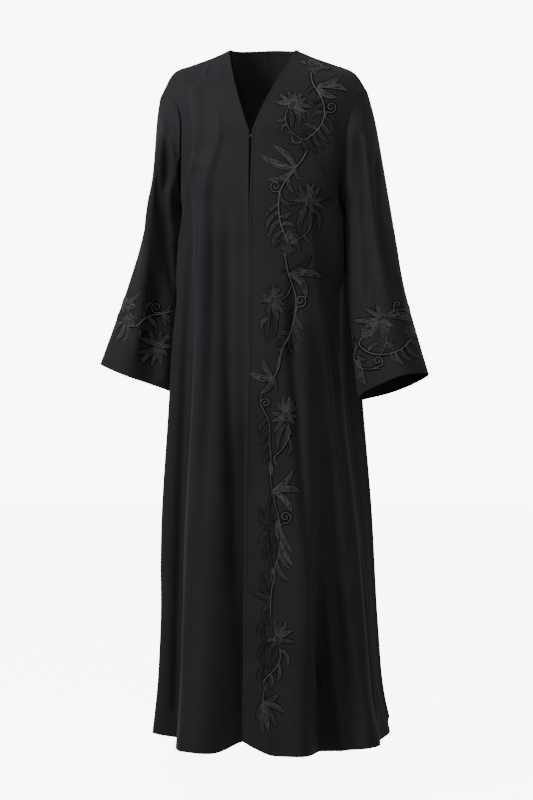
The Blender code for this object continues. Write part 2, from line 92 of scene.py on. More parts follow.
# Powers of the curve along the V, and of the yoke's arch and drop out towards the armhole
V_CURVE = 1.8
YOKE_ARCH = 2.4
YOKE_DROP = 1.5
# How many times faster than the yoke runs down the centre back reaches the underarm's depth
BACK_CURVE_RATE = 1.5
# The yoke starts to take on the body's rounded section at this share of it
YOKE_ROUND_START = 0.45
# The top edge's own shape fades out over this share of the yoke
TOP_EDGE_REACH = 0.8
# How many times faster than the skirt runs down the underarm's own place fades out
UNDERARM_DEPTH_FADE = 3
UNDERARM_WIDTH_FADE = 5
UNDERARM_HEIGHT_FADE = 4
# Body folds fade out beside the sleeve, in shares of a panel's width and height
SLEEVE_SIDE_START = 0.80
SLEEVE_SIDE_WIDTH = 0.2
UNDERARM_BLEND = 0.06
# The front's lift sets in at this share of the way down to the hem
HEM_LIFT_START = 0.6
# Shares of a panel over which its normals ease into those of the armhole and the shoulder seam
ARMHOLE_BLEND_START = 0.95
ARMHOLE_BLEND_WIDTH = 0.05
SHOULDER_BLEND = 0.06

# Mesh counts of the shells
PANEL_COLUMNS = 108
YOKE_ROWS = 76
SKIRT_ROWS = 104
SLEEVE_COLUMNS = 144
SLEEVE_ROWS = 92
# All creases are deepened by this factor
CREASE_DEPTH = 1.6
# A crease is left out beyond this many of its widths, and fades at these shares of its length
CREASE_REACH = 2.6
CREASE_FADE_IN = 0.22
CREASE_FADE_OUT = 0.16
# A crease that ends this close to the hem runs out over it
CREASE_HEM_ZONE = 0.10
# Points of a crease before and after it is laid on the cloth
CREASE_DRAWN_POINTS = 14
BODY_CREASE_POINTS = 70
SLEEVE_CREASE_POINTS = 60
# Heights of the thread over the cloth, and half the width of an outline in pixels
THREAD_RISE = 0.0009
THREAD_SUNK = 0.0004
OUTLINE_HALF_WIDTH = 0.42
# Painted shadow: a dark strip shows this far round each leaf and cord, in pixels, where the raised thread's
# shade falls on the cloth
SHADOW_STRIP_MARGIN = 1.5
SHADOW_STRIP_RISE = 0.0001
SHADOW_STRIP_LIFT = 0.00028
SHADOW_STRIP_SUNK = 0.0002
LEAF_STEPS = 11
# A pointed leaf's widening from its base, its narrowing to its tip, and the depth of its midrib
LEAF_FULLNESS = 2.15
LEAF_BASE_POWER = 0.75
LEAF_TIP_POWER = 0.85
LEAF_GROOVE = 0.45
# Metres from stitch to stitch of the filling, and from turn to turn of a cord's twist
STITCH_PITCH = 0.0009
TWIST_PITCH = 0.0019
THREAD_BUMP = 0.00035
THREAD_GLOSS = 0.12
# Noise scales of the crepe, and depths of its grain and of its stitched grooves
CLOUD_SCALE = 9.0
PEBBLE_SCALE = 1500.0
CRINKLE_SCALE = 160.0
GRAIN_DEPTH = 0.00022
GROOVE_DEPTH = 0.0004
# Distances of the first grid lines from a shell's edge
EDGE_STEPS = (0.0, 0.0006, 0.0013, 0.0023, 0.0037, 0.0058, 0.009)

# How far the cloth dips where it turns in at an edge, and over what distance
Roll = namedtuple("Roll", "depth width")
SEAM_ROLL = Roll(0.0009, 0.0014)
SHOULDER_ROLL = Roll(0.0008, 0.0014)
HEM_ROLL = Roll(0.0006, 0.0012)
CENTRE_BACK_ROLL = Roll(0.0009, 0.0012)
# The turned-in front edge stands this proud, this far in, over this distance
PROUD_EDGE_RISE = 0.0005
PROUD_EDGE_PLACE = 0.0030
PROUD_EDGE_WIDTH = 0.0022

# The stage
FLOOR_RADIUS = 9.0
BACKDROP_RADIUS = 12.0
SENSOR_WIDTH = 36.0
# power names the stage setting that holds the light's power
Light = namedtuple("Light", "name place target size power")
LIGHTS = (
    Light("key", (-2.35, -2.35, 1.7), (0.0, 0.0, -0.10), 1.1, "key_power"),
    Light("front", (0.3, -3.3, 1.2), (-0.1, 0.0, -0.20), 1.2, "front_power"),
)

ShoulderPoint = namedtuple("ShoulderPoint", "share x y right_z left_z")
SHOULDER = (
    ShoulderPoint(0.00, NECK_HALF_WIDTH, 0.000, 0.001, -0.004),
    ShoulderPoint(0.25, 0.110, 0.000, -0.015, -0.023),
    ShoulderPoint(0.50, 0.152, 0.001, -0.028, -0.039),
    ShoulderPoint(0.75, 0.194, 0.001, -0.044, -0.058),
)

BodySection = namedtuple("BodySection", "name z right left front back")
BODY = (
    BodySection("underarm", -0.330, 0.166, 0.168, -0.143, 0.118),
    BodySection("waist", -0.480, 0.166, 0.172, -0.147, 0.122),
    BodySection("hip", -0.740, 0.175, 0.178, -0.160, 0.140),
    BodySection("knee", -1.000, 0.196, 0.198, -0.178, 0.168),
    BodySection("calf", -1.220, 0.205, 0.208, -0.192, 0.192),
    BodySection("shin", -1.360, 0.214, 0.216, -0.200, 0.208),
    BodySection("hem", HEM_Z, 0.223, 0.230, -0.207, 0.216),
)

# Crests (+) and troughs (-) round the body. Angles run from the front opening at 0, through the
# wearer's left side at 90, to the centre back at 180. Near the opening and on the left front some
# crests and troughs stand a few degrees from the solids' own, for the photograph's light and shade.
Fold = namedtuple("Fold", "name top_angle hem_angle start_z arm_out hem_out lean power")
FOLDS = (
    Fold("centre back", -180, -180, -0.20, -0.004, -0.012, 0.0, 1.0),
    Fold("back right crest", -160, -161, -0.25, 0.004, 0.026, 0.0, 1.2),
    Fold("back right trough", -143, -144, -0.25, -0.006, -0.026, 0.0, 1.0),
    Fold("back side crest", -116, -122, -0.34, 0.016, 0.024, 0.0, 1.1),
    Fold("right side seam", -92, -96, -0.34, -0.006, -0.010, 0.0, 1.0),
    Fold("right side crest", -66, -82, -0.34, 0.014, 0.010, 0.0, 1.0),
    Fold("right trough", -50, -54, -0.20, -0.004, -0.105, -0.052, 1.5),
    Fold("right pleat crest", -33, -29, -0.12, 0.008, 0.016, -0.004, 0.7),
    Fold("right front crest", -26, -22, -0.45, 0.0, 0.022, 0.0, 1.2),
    Fold("right opening trough", -6, -1, -0.25, 0.0, -0.036, 0.0, 1.0),
    Fold("opening", 0, 0, -0.45, 0.0, -0.030, 0.0, 1.5),
    Fold("left front rise", 12, 14, -0.50, 0.0, 0.002, 0.0, 1.0),
    Fold("left front crest", 44, 26, -0.30, 0.000, 0.020, 0.008, 1.4),
    Fold("left trough", 60, 44, -0.45, 0.000, -0.074, 0.010, 1.9),
    Fold("left pleat crest", 73, 64, -0.45, -0.004, 0.044, 0.0, 1.2),
    Fold("left notch", 86, 80, -0.40, -0.006, 0.024, 0.0, 1.6),
    Fold("left side crest", 110, 101, -0.34, 0.018, 0.036, 0.0, 1.6),
    Fold("left back trough", 126, 119, -0.30, -0.006, -0.024, 0.0, 1.0),
    Fold("left back crest", 141, 139, -0.25, 0.004, 0.026, 0.0, 1.2),
    Fold("left inner trough", 157, 157, -0.25, -0.004, -0.022, 0.0, 1.0),
    Fold("left inner crest", 169, 169, -0.25, 0.0, 0.006, 0.0, 1.0),
)

SleeveRing = namedtuple(
    "SleeveRing",
    "name share outer_x outer_z inner_x inner_z mid_y front back front_x front_z back_z",
)
SLEEVES = {
    "right": (
        SleeveRing("armhole", 0.00, 0.2245, -0.095, 0.168, -0.332, 0.004, 0.076, 0.072, -0.044, 0.010, 0.0),
        SleeveRing("cap", 0.12, 0.232, -0.150, 0.177, -0.348, 0.004, 0.078, 0.074, -0.018, 0.004, 0.0),
        SleeveRing("upper arm", 0.30, 0.2375, -0.270, 0.175, -0.405, 0.006, 0.070, 0.068, 0.000, 0.000, 0.0),
        SleeveRing("elbow", 0.52, 0.262, -0.400, 0.174, -0.490, 0.006, 0.062, 0.062, 0.000, 0.004, -0.004),
        SleeveRing("forearm", 0.70, 0.292, -0.500, 0.176, -0.575, 0.002, 0.060, 0.060, 0.000, 0.004, -0.004),
        SleeveRing("wrist", 0.87, 0.326, -0.600, 0.182, -0.660, -0.006, 0.060, 0.060, 0.000, 0.004, -0.004),
        SleeveRing("cuff", 1.00, 0.3475, -0.662, 0.188, -0.722, -0.012, 0.062, 0.062, 0.000, 0.001, -0.005),
    ),
    "left": (
        SleeveRing("armhole", 0.00, 0.2215, -0.099, 0.168, -0.332, 0.004, 0.076, 0.072, -0.012, 0.010, 0.0),
        SleeveRing("cap", 0.12, 0.236, -0.155, 0.177, -0.348, 0.000, 0.080, 0.074, -0.002, 0.006, 0.0),
        SleeveRing("upper arm", 0.30, 0.258, -0.275, 0.178, -0.405, -0.008, 0.076, 0.070, 0.000, 0.002, 0.0),
        SleeveRing("elbow", 0.52, 0.281, -0.405, 0.182, -0.490, -0.020, 0.070, 0.066, 0.000, 0.006, -0.004),
        SleeveRing("forearm", 0.70, 0.300, -0.508, 0.189, -0.575, -0.034, 0.066, 0.064, 0.000, 0.009, -0.004),
        SleeveRing("wrist", 0.87, 0.328, -0.608, 0.199, -0.665, -0.048, 0.064, 0.062, 0.000, 0.012, -0.003),
        SleeveRing("cuff", 1.00, 0.352, -0.687, 0.209, -0.738, -0.056, 0.064, 0.062, 0.000, 0.014, -0.0065),
    ),
}

SleeveFold = namedtuple("SleeveFold", "name top_angle cuff_angle top_out cuff_out")
SLEEVE_FOLDS = {
    "right": (
        SleeveFold("outer edge", 0, 0, 0.000, 0.002),
        SleeveFold("outer trough", 26, 48, -0.004, -0.003),
        SleeveFold("front crest", 50, 86, 0.004, 0.007),
        SleeveFold("front trough", 92, 120, -0.009, -0.006),
        SleeveFold("inner crest", 132, 146, 0.004, 0.003),
        SleeveFold("inner edge", 180, 180, 0.000, 0.000),
        SleeveFold("back trough", 235, 225, -0.008, -0.004),
        SleeveFold("back crest", 280, 272, 0.004, 0.006),
        SleeveFold("back outer trough", 325, 318, -0.003, -0.003),
    ),
    "left": (
        SleeveFold("outer edge", 0, 0, 0.000, 0.002),
        SleeveFold("outer trough", 30, 36, -0.004, -0.002),
        SleeveFold("front crest", 56, 70, 0.004, 0.003),
        SleeveFold("front trough", 94, 104, -0.007, -0.003),
        SleeveFold("inner crest", 136, 140, 0.004, 0.003),
        SleeveFold("inner edge", 180, 180, 0.000, 0.000),
        SleeveFold("back trough", 232, 225, -0.007, -0.004),
        SleeveFold("back crest", 278, 270, 0.004, 0.006),
        SleeveFold("back outer trough", 325, 318, -0.003, -0.003),
    ),
}

# Creases seen in the photograph, from top to bottom. rise is positive for a ridge and negative for a
# valley, and left and right are its widths on the two sides of a path that runs down the picture.
Crease = namedtuple("Crease", "name rise left right path")
FRONT_CREASES = (
    Crease("right armhole ridge", 0.0022, 0.006, 0.010, (
        (178, 82), (179, 105), (180, 132), (183, 158), (185, 175),
    )),
    Crease("right shoulder ridge", 0.0062, 0.009, 0.022, (
        (192, 82), (195, 100), (197, 122), (197, 150), (194, 178),
    )),
    Crease("right armhole hollow", -0.0050, 0.007, 0.009, (
        (172, 98), (170, 125), (169, 150), (170, 180), (171, 210),
    )),
    Crease("right shoulder pinch", 0.0020, 0.004, 0.006, ((210.5, 62), (206, 70), (204, 80))),
    Crease("right inner pinch", 0.0010, 0.005, 0.008, ((221, 66), (219, 76), (218, 86))),
    Crease("right drape ridge", 0.0034, 0.006, 0.014, (
        (198, 150), (192, 162), (189, 182), (186, 210), (181, 240), (177, 272), (175, 300),
    )),
    Crease("right pleat ridge", 0.0034, 0.006, 0.020, (
        (206, 143), (203, 160), (202.4, 182), (202, 212), (202, 250), (201, 286), (199.6, 334),
        (197, 378), (194, 426), (191.6, 474), (190, 520), (187, 590), (184.5, 650), (183, 710),
        (181, 744),
    )),
    Crease("right pleat valley", -0.0056, 0.012, 0.008, (
        (194, 176), (192, 212), (190, 250), (188, 290), (186, 340), (184, 400), (182, 470), (180, 540),
        (178, 620), (176, 700),
    )),
    Crease("right soft valley", -0.0054, 0.015, 0.012, (
        (226, 180), (227, 230), (228, 290), (229, 360), (231, 430), (233, 500), (234, 560), (235, 620),
    )),
    Crease("right opening valley", -0.0095, 0.024, 0.020, (
        (244, 400), (246, 480), (247, 560), (249, 610), (250, 660), (251, 710), (252, 744),
    )),
    Crease("left opening ridge", 0.0080, 0.024, 0.028, (
        (245, 340), (246, 430), (247, 520), (249, 610), (250, 744),
    )),
    Crease("left upper side ridge", 0.0056, 0.030, 0.008, (
        (332, 104), (333, 144), (334, 172), (334, 204), (335, 240), (337, 290),
    )),
    Crease("left diagonal ridge", 0.0062, 0.030, 0.014, (
        (305, 150), (310, 160), (317, 172), (324, 190), (333, 220), (337, 250), (342, 290),
    )),
    Crease("left inner ridge", 0.0020, 0.012, 0.010, ((306, 200), (310, 230), (314, 256), (316, 280))),
    Crease("left side valley", -0.0010, 0.007, 0.012, (
        (323, 236), (325, 262), (331, 300), (338, 340), (342, 380),
    )),
    Crease("left outer ridge", 0.0064, 0.016, 0.010, (
        (313, 262), (319, 310), (324, 350), (330, 420), (338, 480), (343, 530), (346, 580),
    )),
    Crease("left vine valley", -0.0066, 0.010, 0.016, (
        (296, 250), (293, 300), (292, 350), (297, 410), (301, 460), (306, 520), (310, 570),
    )),
    Crease("left front edge", 0.0044, 0.026, 0.010, (
        (300, 520), (304, 570), (307, 610), (312, 670), (315, 720), (317, 752),
    )),
    Crease("left trough ridge", 0.0034, 0.012, 0.008, (
        (322, 540), (326, 580), (329, 620), (334, 672), (339, 708), (342, 745),
    )),
    Crease("left outer valley", -0.0030, 0.006, 0.008, (
        (331, 560), (336, 610), (342, 660), (346, 700), (350, 742),
    )),
    Crease("left lower ridge", 0.0050, 0.012, 0.012, (
        (346, 560), (349, 610), (356, 660), (362, 700), (366, 742),
    )),
    Crease("left side ridge", 0.0030, 0.010, 0.006, (
        (357, 520), (362, 570), (366, 610), (371, 670), (376, 720),
    )),
)
SLEEVE_CREASES = {
    "right": (
        Crease("inner armhole hollow", -0.0044, 0.008, 0.007, (
            (166, 108), (167, 135), (167, 165), (166, 196),
        )),
        Crease("sleeve cap ridge", 0.0020, 0.006, 0.006, (
            (161, 104), (164, 122), (170, 146), (177, 172), (182, 196),
        )),
        Crease("sleeve cap valley", -0.0028, 0.006, 0.006, (
            (165, 104), (170, 124), (176, 148), (181, 176), (183, 200),
        )),
        Crease("outer valley", -0.0040, 0.010, 0.008, (
            (157, 150), (158, 190), (163, 226), (168, 256), (172, 280), (175, 300),
        )),
        Crease("outer ridge", 0.0034, 0.012, 0.010, (
            (152, 176), (149, 205), (147, 232), (145.5, 262), (143.5, 288), (139, 334), (134.5, 354),
            (137, 376),
        )),
        Crease("middle ridge", 0.0026, 0.008, 0.007, ((168, 176), (170, 212), (174, 232), (179, 250))),
        Crease("inner soft valley", -0.0024, 0.010, 0.010, ((154, 268), (157, 290), (160, 306))),
        Crease("cuff ridge", 0.0024, 0.014, 0.010, ((164, 340), (165, 360), (163, 386))),
    ),
    "left": (
        Crease("cap ridge", 0.0024, 0.008, 0.010, (
            (358, 112), (353, 130), (351, 156), (350, 200), (351, 236),
        )),
        Crease("cap valley", -0.0020, 0.008, 0.010, ((364, 122), (361, 150), (361, 190), (362, 230))),
        Crease("outer ridge", 0.0024, 0.012, 0.012, ((372, 130), (375, 160), (379, 200), (383, 240))),
        Crease("front valley", -0.0060, 0.009, 0.009, (
            (358, 120), (359, 160), (362, 210), (366, 262), (368, 316),
        )),
        Crease("soft valley", -0.0052, 0.010, 0.010, (
            (375, 140), (377, 180), (380, 220), (387, 262), (396, 300),
        )),
        Crease("elbow ridge", 0.0022, 0.012, 0.012, ((396, 262), (402, 300), (408, 340))),
        Crease("inner wrinkle", -0.0016, 0.006, 0.006, ((350, 318), (355, 326), (354, 340), (352, 356))),
    ),
}

# Creases on the sides and the back, from top to bottom: degrees round the body, and height
HIDDEN_CREASES = (
    Crease("yoke left ridge", 0.0024, 0.012, 0.010, ((150, -0.10), (152, -0.22), (150, -0.36), (147, -0.52))),
    Crease("yoke right ridge", 0.0020, 0.010, 0.014, ((-148, -0.12), (-151, -0.26), (-150, -0.42))),
    Crease("left underarm ridge", 0.0085, 0.014, 0.014, (
        (99, -0.28), (99, -0.35), (100, -0.40), (101, -0.48),
    )),
    Crease("centre left ridge", 0.0030, 0.014, 0.010, (
        (172, -0.30), (170, -0.52), (169, -0.80), (170, -1.20),
    )),
    Crease("left back ridge", 0.0042, 0.016, 0.009, ((138, -0.34), (140, -0.60), (139, -0.95), (139, -1.40))),
    Crease("left back valley", -0.0040, 0.012, 0.014, (
        (126, -0.40), (124, -0.70), (121, -1.05), (119, -1.36),
    )),
    Crease("left side ridge", 0.0036, 0.010, 0.014, ((108, -0.40), (106, -0.66), (103, -1.00), (101, -1.38))),
    Crease("right back ridge", 0.0040, 0.010, 0.016, (
        (-158, -0.30), (-160, -0.62), (-161, -1.00), (-161, -1.40),
    )),
    Crease("right back valley", -0.0044, 0.014, 0.012, (
        (-142, -0.36), (-143, -0.70), (-144, -1.10), (-144, -1.38),
    )),
    Crease("right side ridge", 0.0036, 0.014, 0.009, (
        (-117, -0.42), (-119, -0.70), (-121, -1.05), (-122, -1.40),
    )),
    Crease("right flank valley", -0.0026, 0.012, 0.012, ((-100, -0.46), (-98, -0.76), (-97, -1.10))),
    Crease("right flank ridge", 0.0026, 0.010, 0.012, ((-74, -0.50), (-78, -0.80), (-82, -1.20))),
)
# Creases on the sleeves' backs, from top to bottom: degrees round the sleeve, and share of its length
SLEEVE_BACK_CREASES = (
    Crease("back cap ridge", 0.0024, 0.010, 0.008, ((318, 0.06), (306, 0.20), (296, 0.38))),
    Crease("back cap valley", -0.0026, 0.008, 0.010, ((300, 0.08), (286, 0.24), (270, 0.42), (262, 0.60))),
    Crease("back ridge", 0.0034, 0.012, 0.010, ((282, 0.30), (278, 0.52), (272, 0.76), (270, 0.96))),
    Crease("back inner valley", -0.0030, 0.010, 0.012, ((242, 0.34), (234, 0.56), (228, 0.80))),
    Crease("back wrinkle", 0.0016, 0.006, 0.008, ((262, 0.40), (244, 0.46), (226, 0.49))),
    Crease("back outer valley", -0.0022, 0.010, 0.010, ((330, 0.40), (326, 0.62), (320, 0.88))),
)

# The flat cut of a piece, a type that no piece is given here: widest across, longest down, and the area
# within that
FlatCut = namedtuple("FlatCut", "width length area")

# Embroidery, in pixels of the photograph's frame, with its places read off the photograph.
# bend bows a leaf sideways by that share of its length, and tone runs from dark at 0 to pale at 1.
Leaf = namedtuple("Leaf", "base_x base_y tip_x tip_y width bend tone")
# petals are the tips of narrow petals round an oval heart that leans by tilt degrees
Flower = namedtuple("Flower", "x y long wide tilt tone petals")
Blossom = namedtuple("Blossom", "x y radius turn tone")
# A curl starts at its root and winds in from start degrees, clockwise in the picture for turns over 0
Curl = namedtuple("Curl", "x y radius start turns root_x root_y")
Stem = namedtuple("Stem", "width tone path")

VINE_STEMS = (
    Stem(1.3, 1.0, (
        (311, 72), (312, 81), (316, 88.5), (321, 97), (324, 106), (324.3, 115), (321.5, 124),
        (316, 131.5), (308.5, 137.5), (301, 142), (295, 142.6), (291.5, 138.5),
    )),
    Stem(1.0, 0.9, ((288, 109), (285.6, 115), (286.3, 123), (290.5, 130.5), (298, 137), (303, 141))),
    Stem(0.9, 0.5, ((302, 142), (305.5, 145.5), (307.2, 151))),
    Stem(1.4, 1.0, (
        (307, 151), (302, 160), (295.7, 167.5), (287.8, 177.5), (281, 189), (278.8, 199), (278.8, 210),
        (280.2, 222), (284.6, 234), (288.5, 243),
    )),
    Stem(0.9, 0.7, ((279.5, 192), (283, 199), (289, 203.5), (297, 204))),
    Stem(1.0, 0.8, ((310, 211), (311, 220), (309.5, 229), (304, 235.5), (296.5, 240))),
    Stem(1.3, 1.0, (
        (284, 252), (286, 262), (288.4, 273.5), (292.8, 286), (295.8, 297), (296, 309), (293.8, 322),
        (289.6, 335), (283.6, 346), (280.6, 355), (279, 367), (274, 377),
    )),
    Stem(0.9, 0.8, ((276.5, 301), (283, 299), (288.5, 293), (291.5, 285))),
    Stem(1.1, 0.7, (
        (274, 377), (267, 386), (261.6, 395), (260.8, 404), (264, 411.5), (268.4, 419), (270, 430),
        (269.6, 442), (271, 455), (270.6, 470), (270.8, 481), (272, 490),
    )),
    Stem(1.1, 0.9, ((288.5, 424), (289.6, 433), (286.5, 443), (280.5, 451), (273.5, 457.5))),
    Stem(1.1, 0.35, ((272, 490), (269.5, 504), (267, 518), (267.4, 534), (269.4, 552), (272.6, 571))),
    Stem(1.1, 0.8, (
        (272.8, 492), (275.4, 506), (279.2, 520), (280.9, 532), (280.2, 547), (277, 561), (273, 572),
    )),
    Stem(1.2, 0.9, ((272.6, 584), (271, 597), (270.4, 616))),
    Stem(1.0, 0.25, ((270, 598), (265.5, 609), (263, 622), (263.6, 640), (262.6, 660), (262.6, 684))),
    Stem(1.2, 0.9, ((280, 647), (280.4, 658), (276.8, 667), (269.5, 674.5), (263, 682))),
    Stem(1.2, 0.8, ((264.6, 688), (263.6, 695), (262.6, 703))),
)
VINE_CURLS = (
    Curl(331.0, 107.2, 5.4, 130, -1.5, 325.0, 118.0),
    Curl(275.6, 186.2, 5.6, 60, 1.5, 280.0, 197.0),
    Curl(300.6, 300.6, 5.8, 110, -1.5, 296.3, 311.0),
    Curl(265.8, 403.0, 5.2, 120, 1.5, 267.0, 417.0),
    Curl(285.4, 517.0, 5.9, 110, -1.5, 279.8, 526.0),
)
VINE_BLOSSOMS = (
    Blossom(314.6, 65.5, 7.6, 10, 1.0),
    Blossom(290.5, 238.5, 7.0, 40, 0.9),
    Blossom(287.0, 250.0, 6.6, 0, 0.7),
    Blossom(282.5, 353.0, 5.6, 25, 0.3),
    Blossom(303.0, 141.0, 4.8, 55, 0.35),
    Blossom(306.0, 147.5, 4.2, 15, 0.25),
)
VINE_FLOWERS = (
    Flower(292.4, 104.4, 8.5, 6.5, -35, 1.0, (
        (275.8, 101.6), (280.2, 94.2), (288.2, 91.0), (295.6, 93.0), (301.4, 93.4), (307.2, 98.0),
        (312.0, 107.4), (306.2, 112.2), (300.4, 117.4),
    )),
    Flower(308.8, 201.6, 8.5, 5.5, 85, 0.85, (
        (293.2, 200.2), (296.4, 192.2), (299.4, 185.2), (307.4, 182.4), (313.4, 184.4), (319.4, 188.2),
        (324.6, 198.0), (322.0, 207.0), (315.0, 213.0), (298.2, 215.2),
    )),
    Flower(272.0, 301.0, 9.0, 5.5, 110, 0.8, (
        (259.0, 301.4), (260.4, 292.2), (267.4, 284.4), (274.2, 285.8), (280.4, 287.0), (284.2, 293.4),
        (284.8, 304.2), (283.2, 312.8), (278.6, 319.6), (266.0, 313.0),
    )),
    Flower(286.2, 416.0, 9.5, 7.0, 80, 1.0, (
        (272.0, 421.4), (271.8, 412.8), (276.2, 402.4), (283.4, 396.4), (290.0, 397.2), (294.4, 399.2),
        (297.4, 406.2), (297.2, 415.8), (294.2, 424.0), (273.8, 432.2),
    )),
    Flower(266.8, 526.4, 7.5, 5.5, 80, 0.3, (
        (257.6, 517.4), (258.8, 507.6), (267.6, 507.0), (272.8, 512.4), (277.0, 521.4), (274.6, 531.0),
        (260.4, 541.0),
    )),
    Flower(277.4, 639.6, 9.5, 6.5, 75, 0.9, (
        (266.6, 640.6), (274.4, 619.8), (280.8, 621.0), (286.6, 621.6), (292.8, 630.4), (294.0, 641.6),
        (268.4, 651.4),
    )),
)
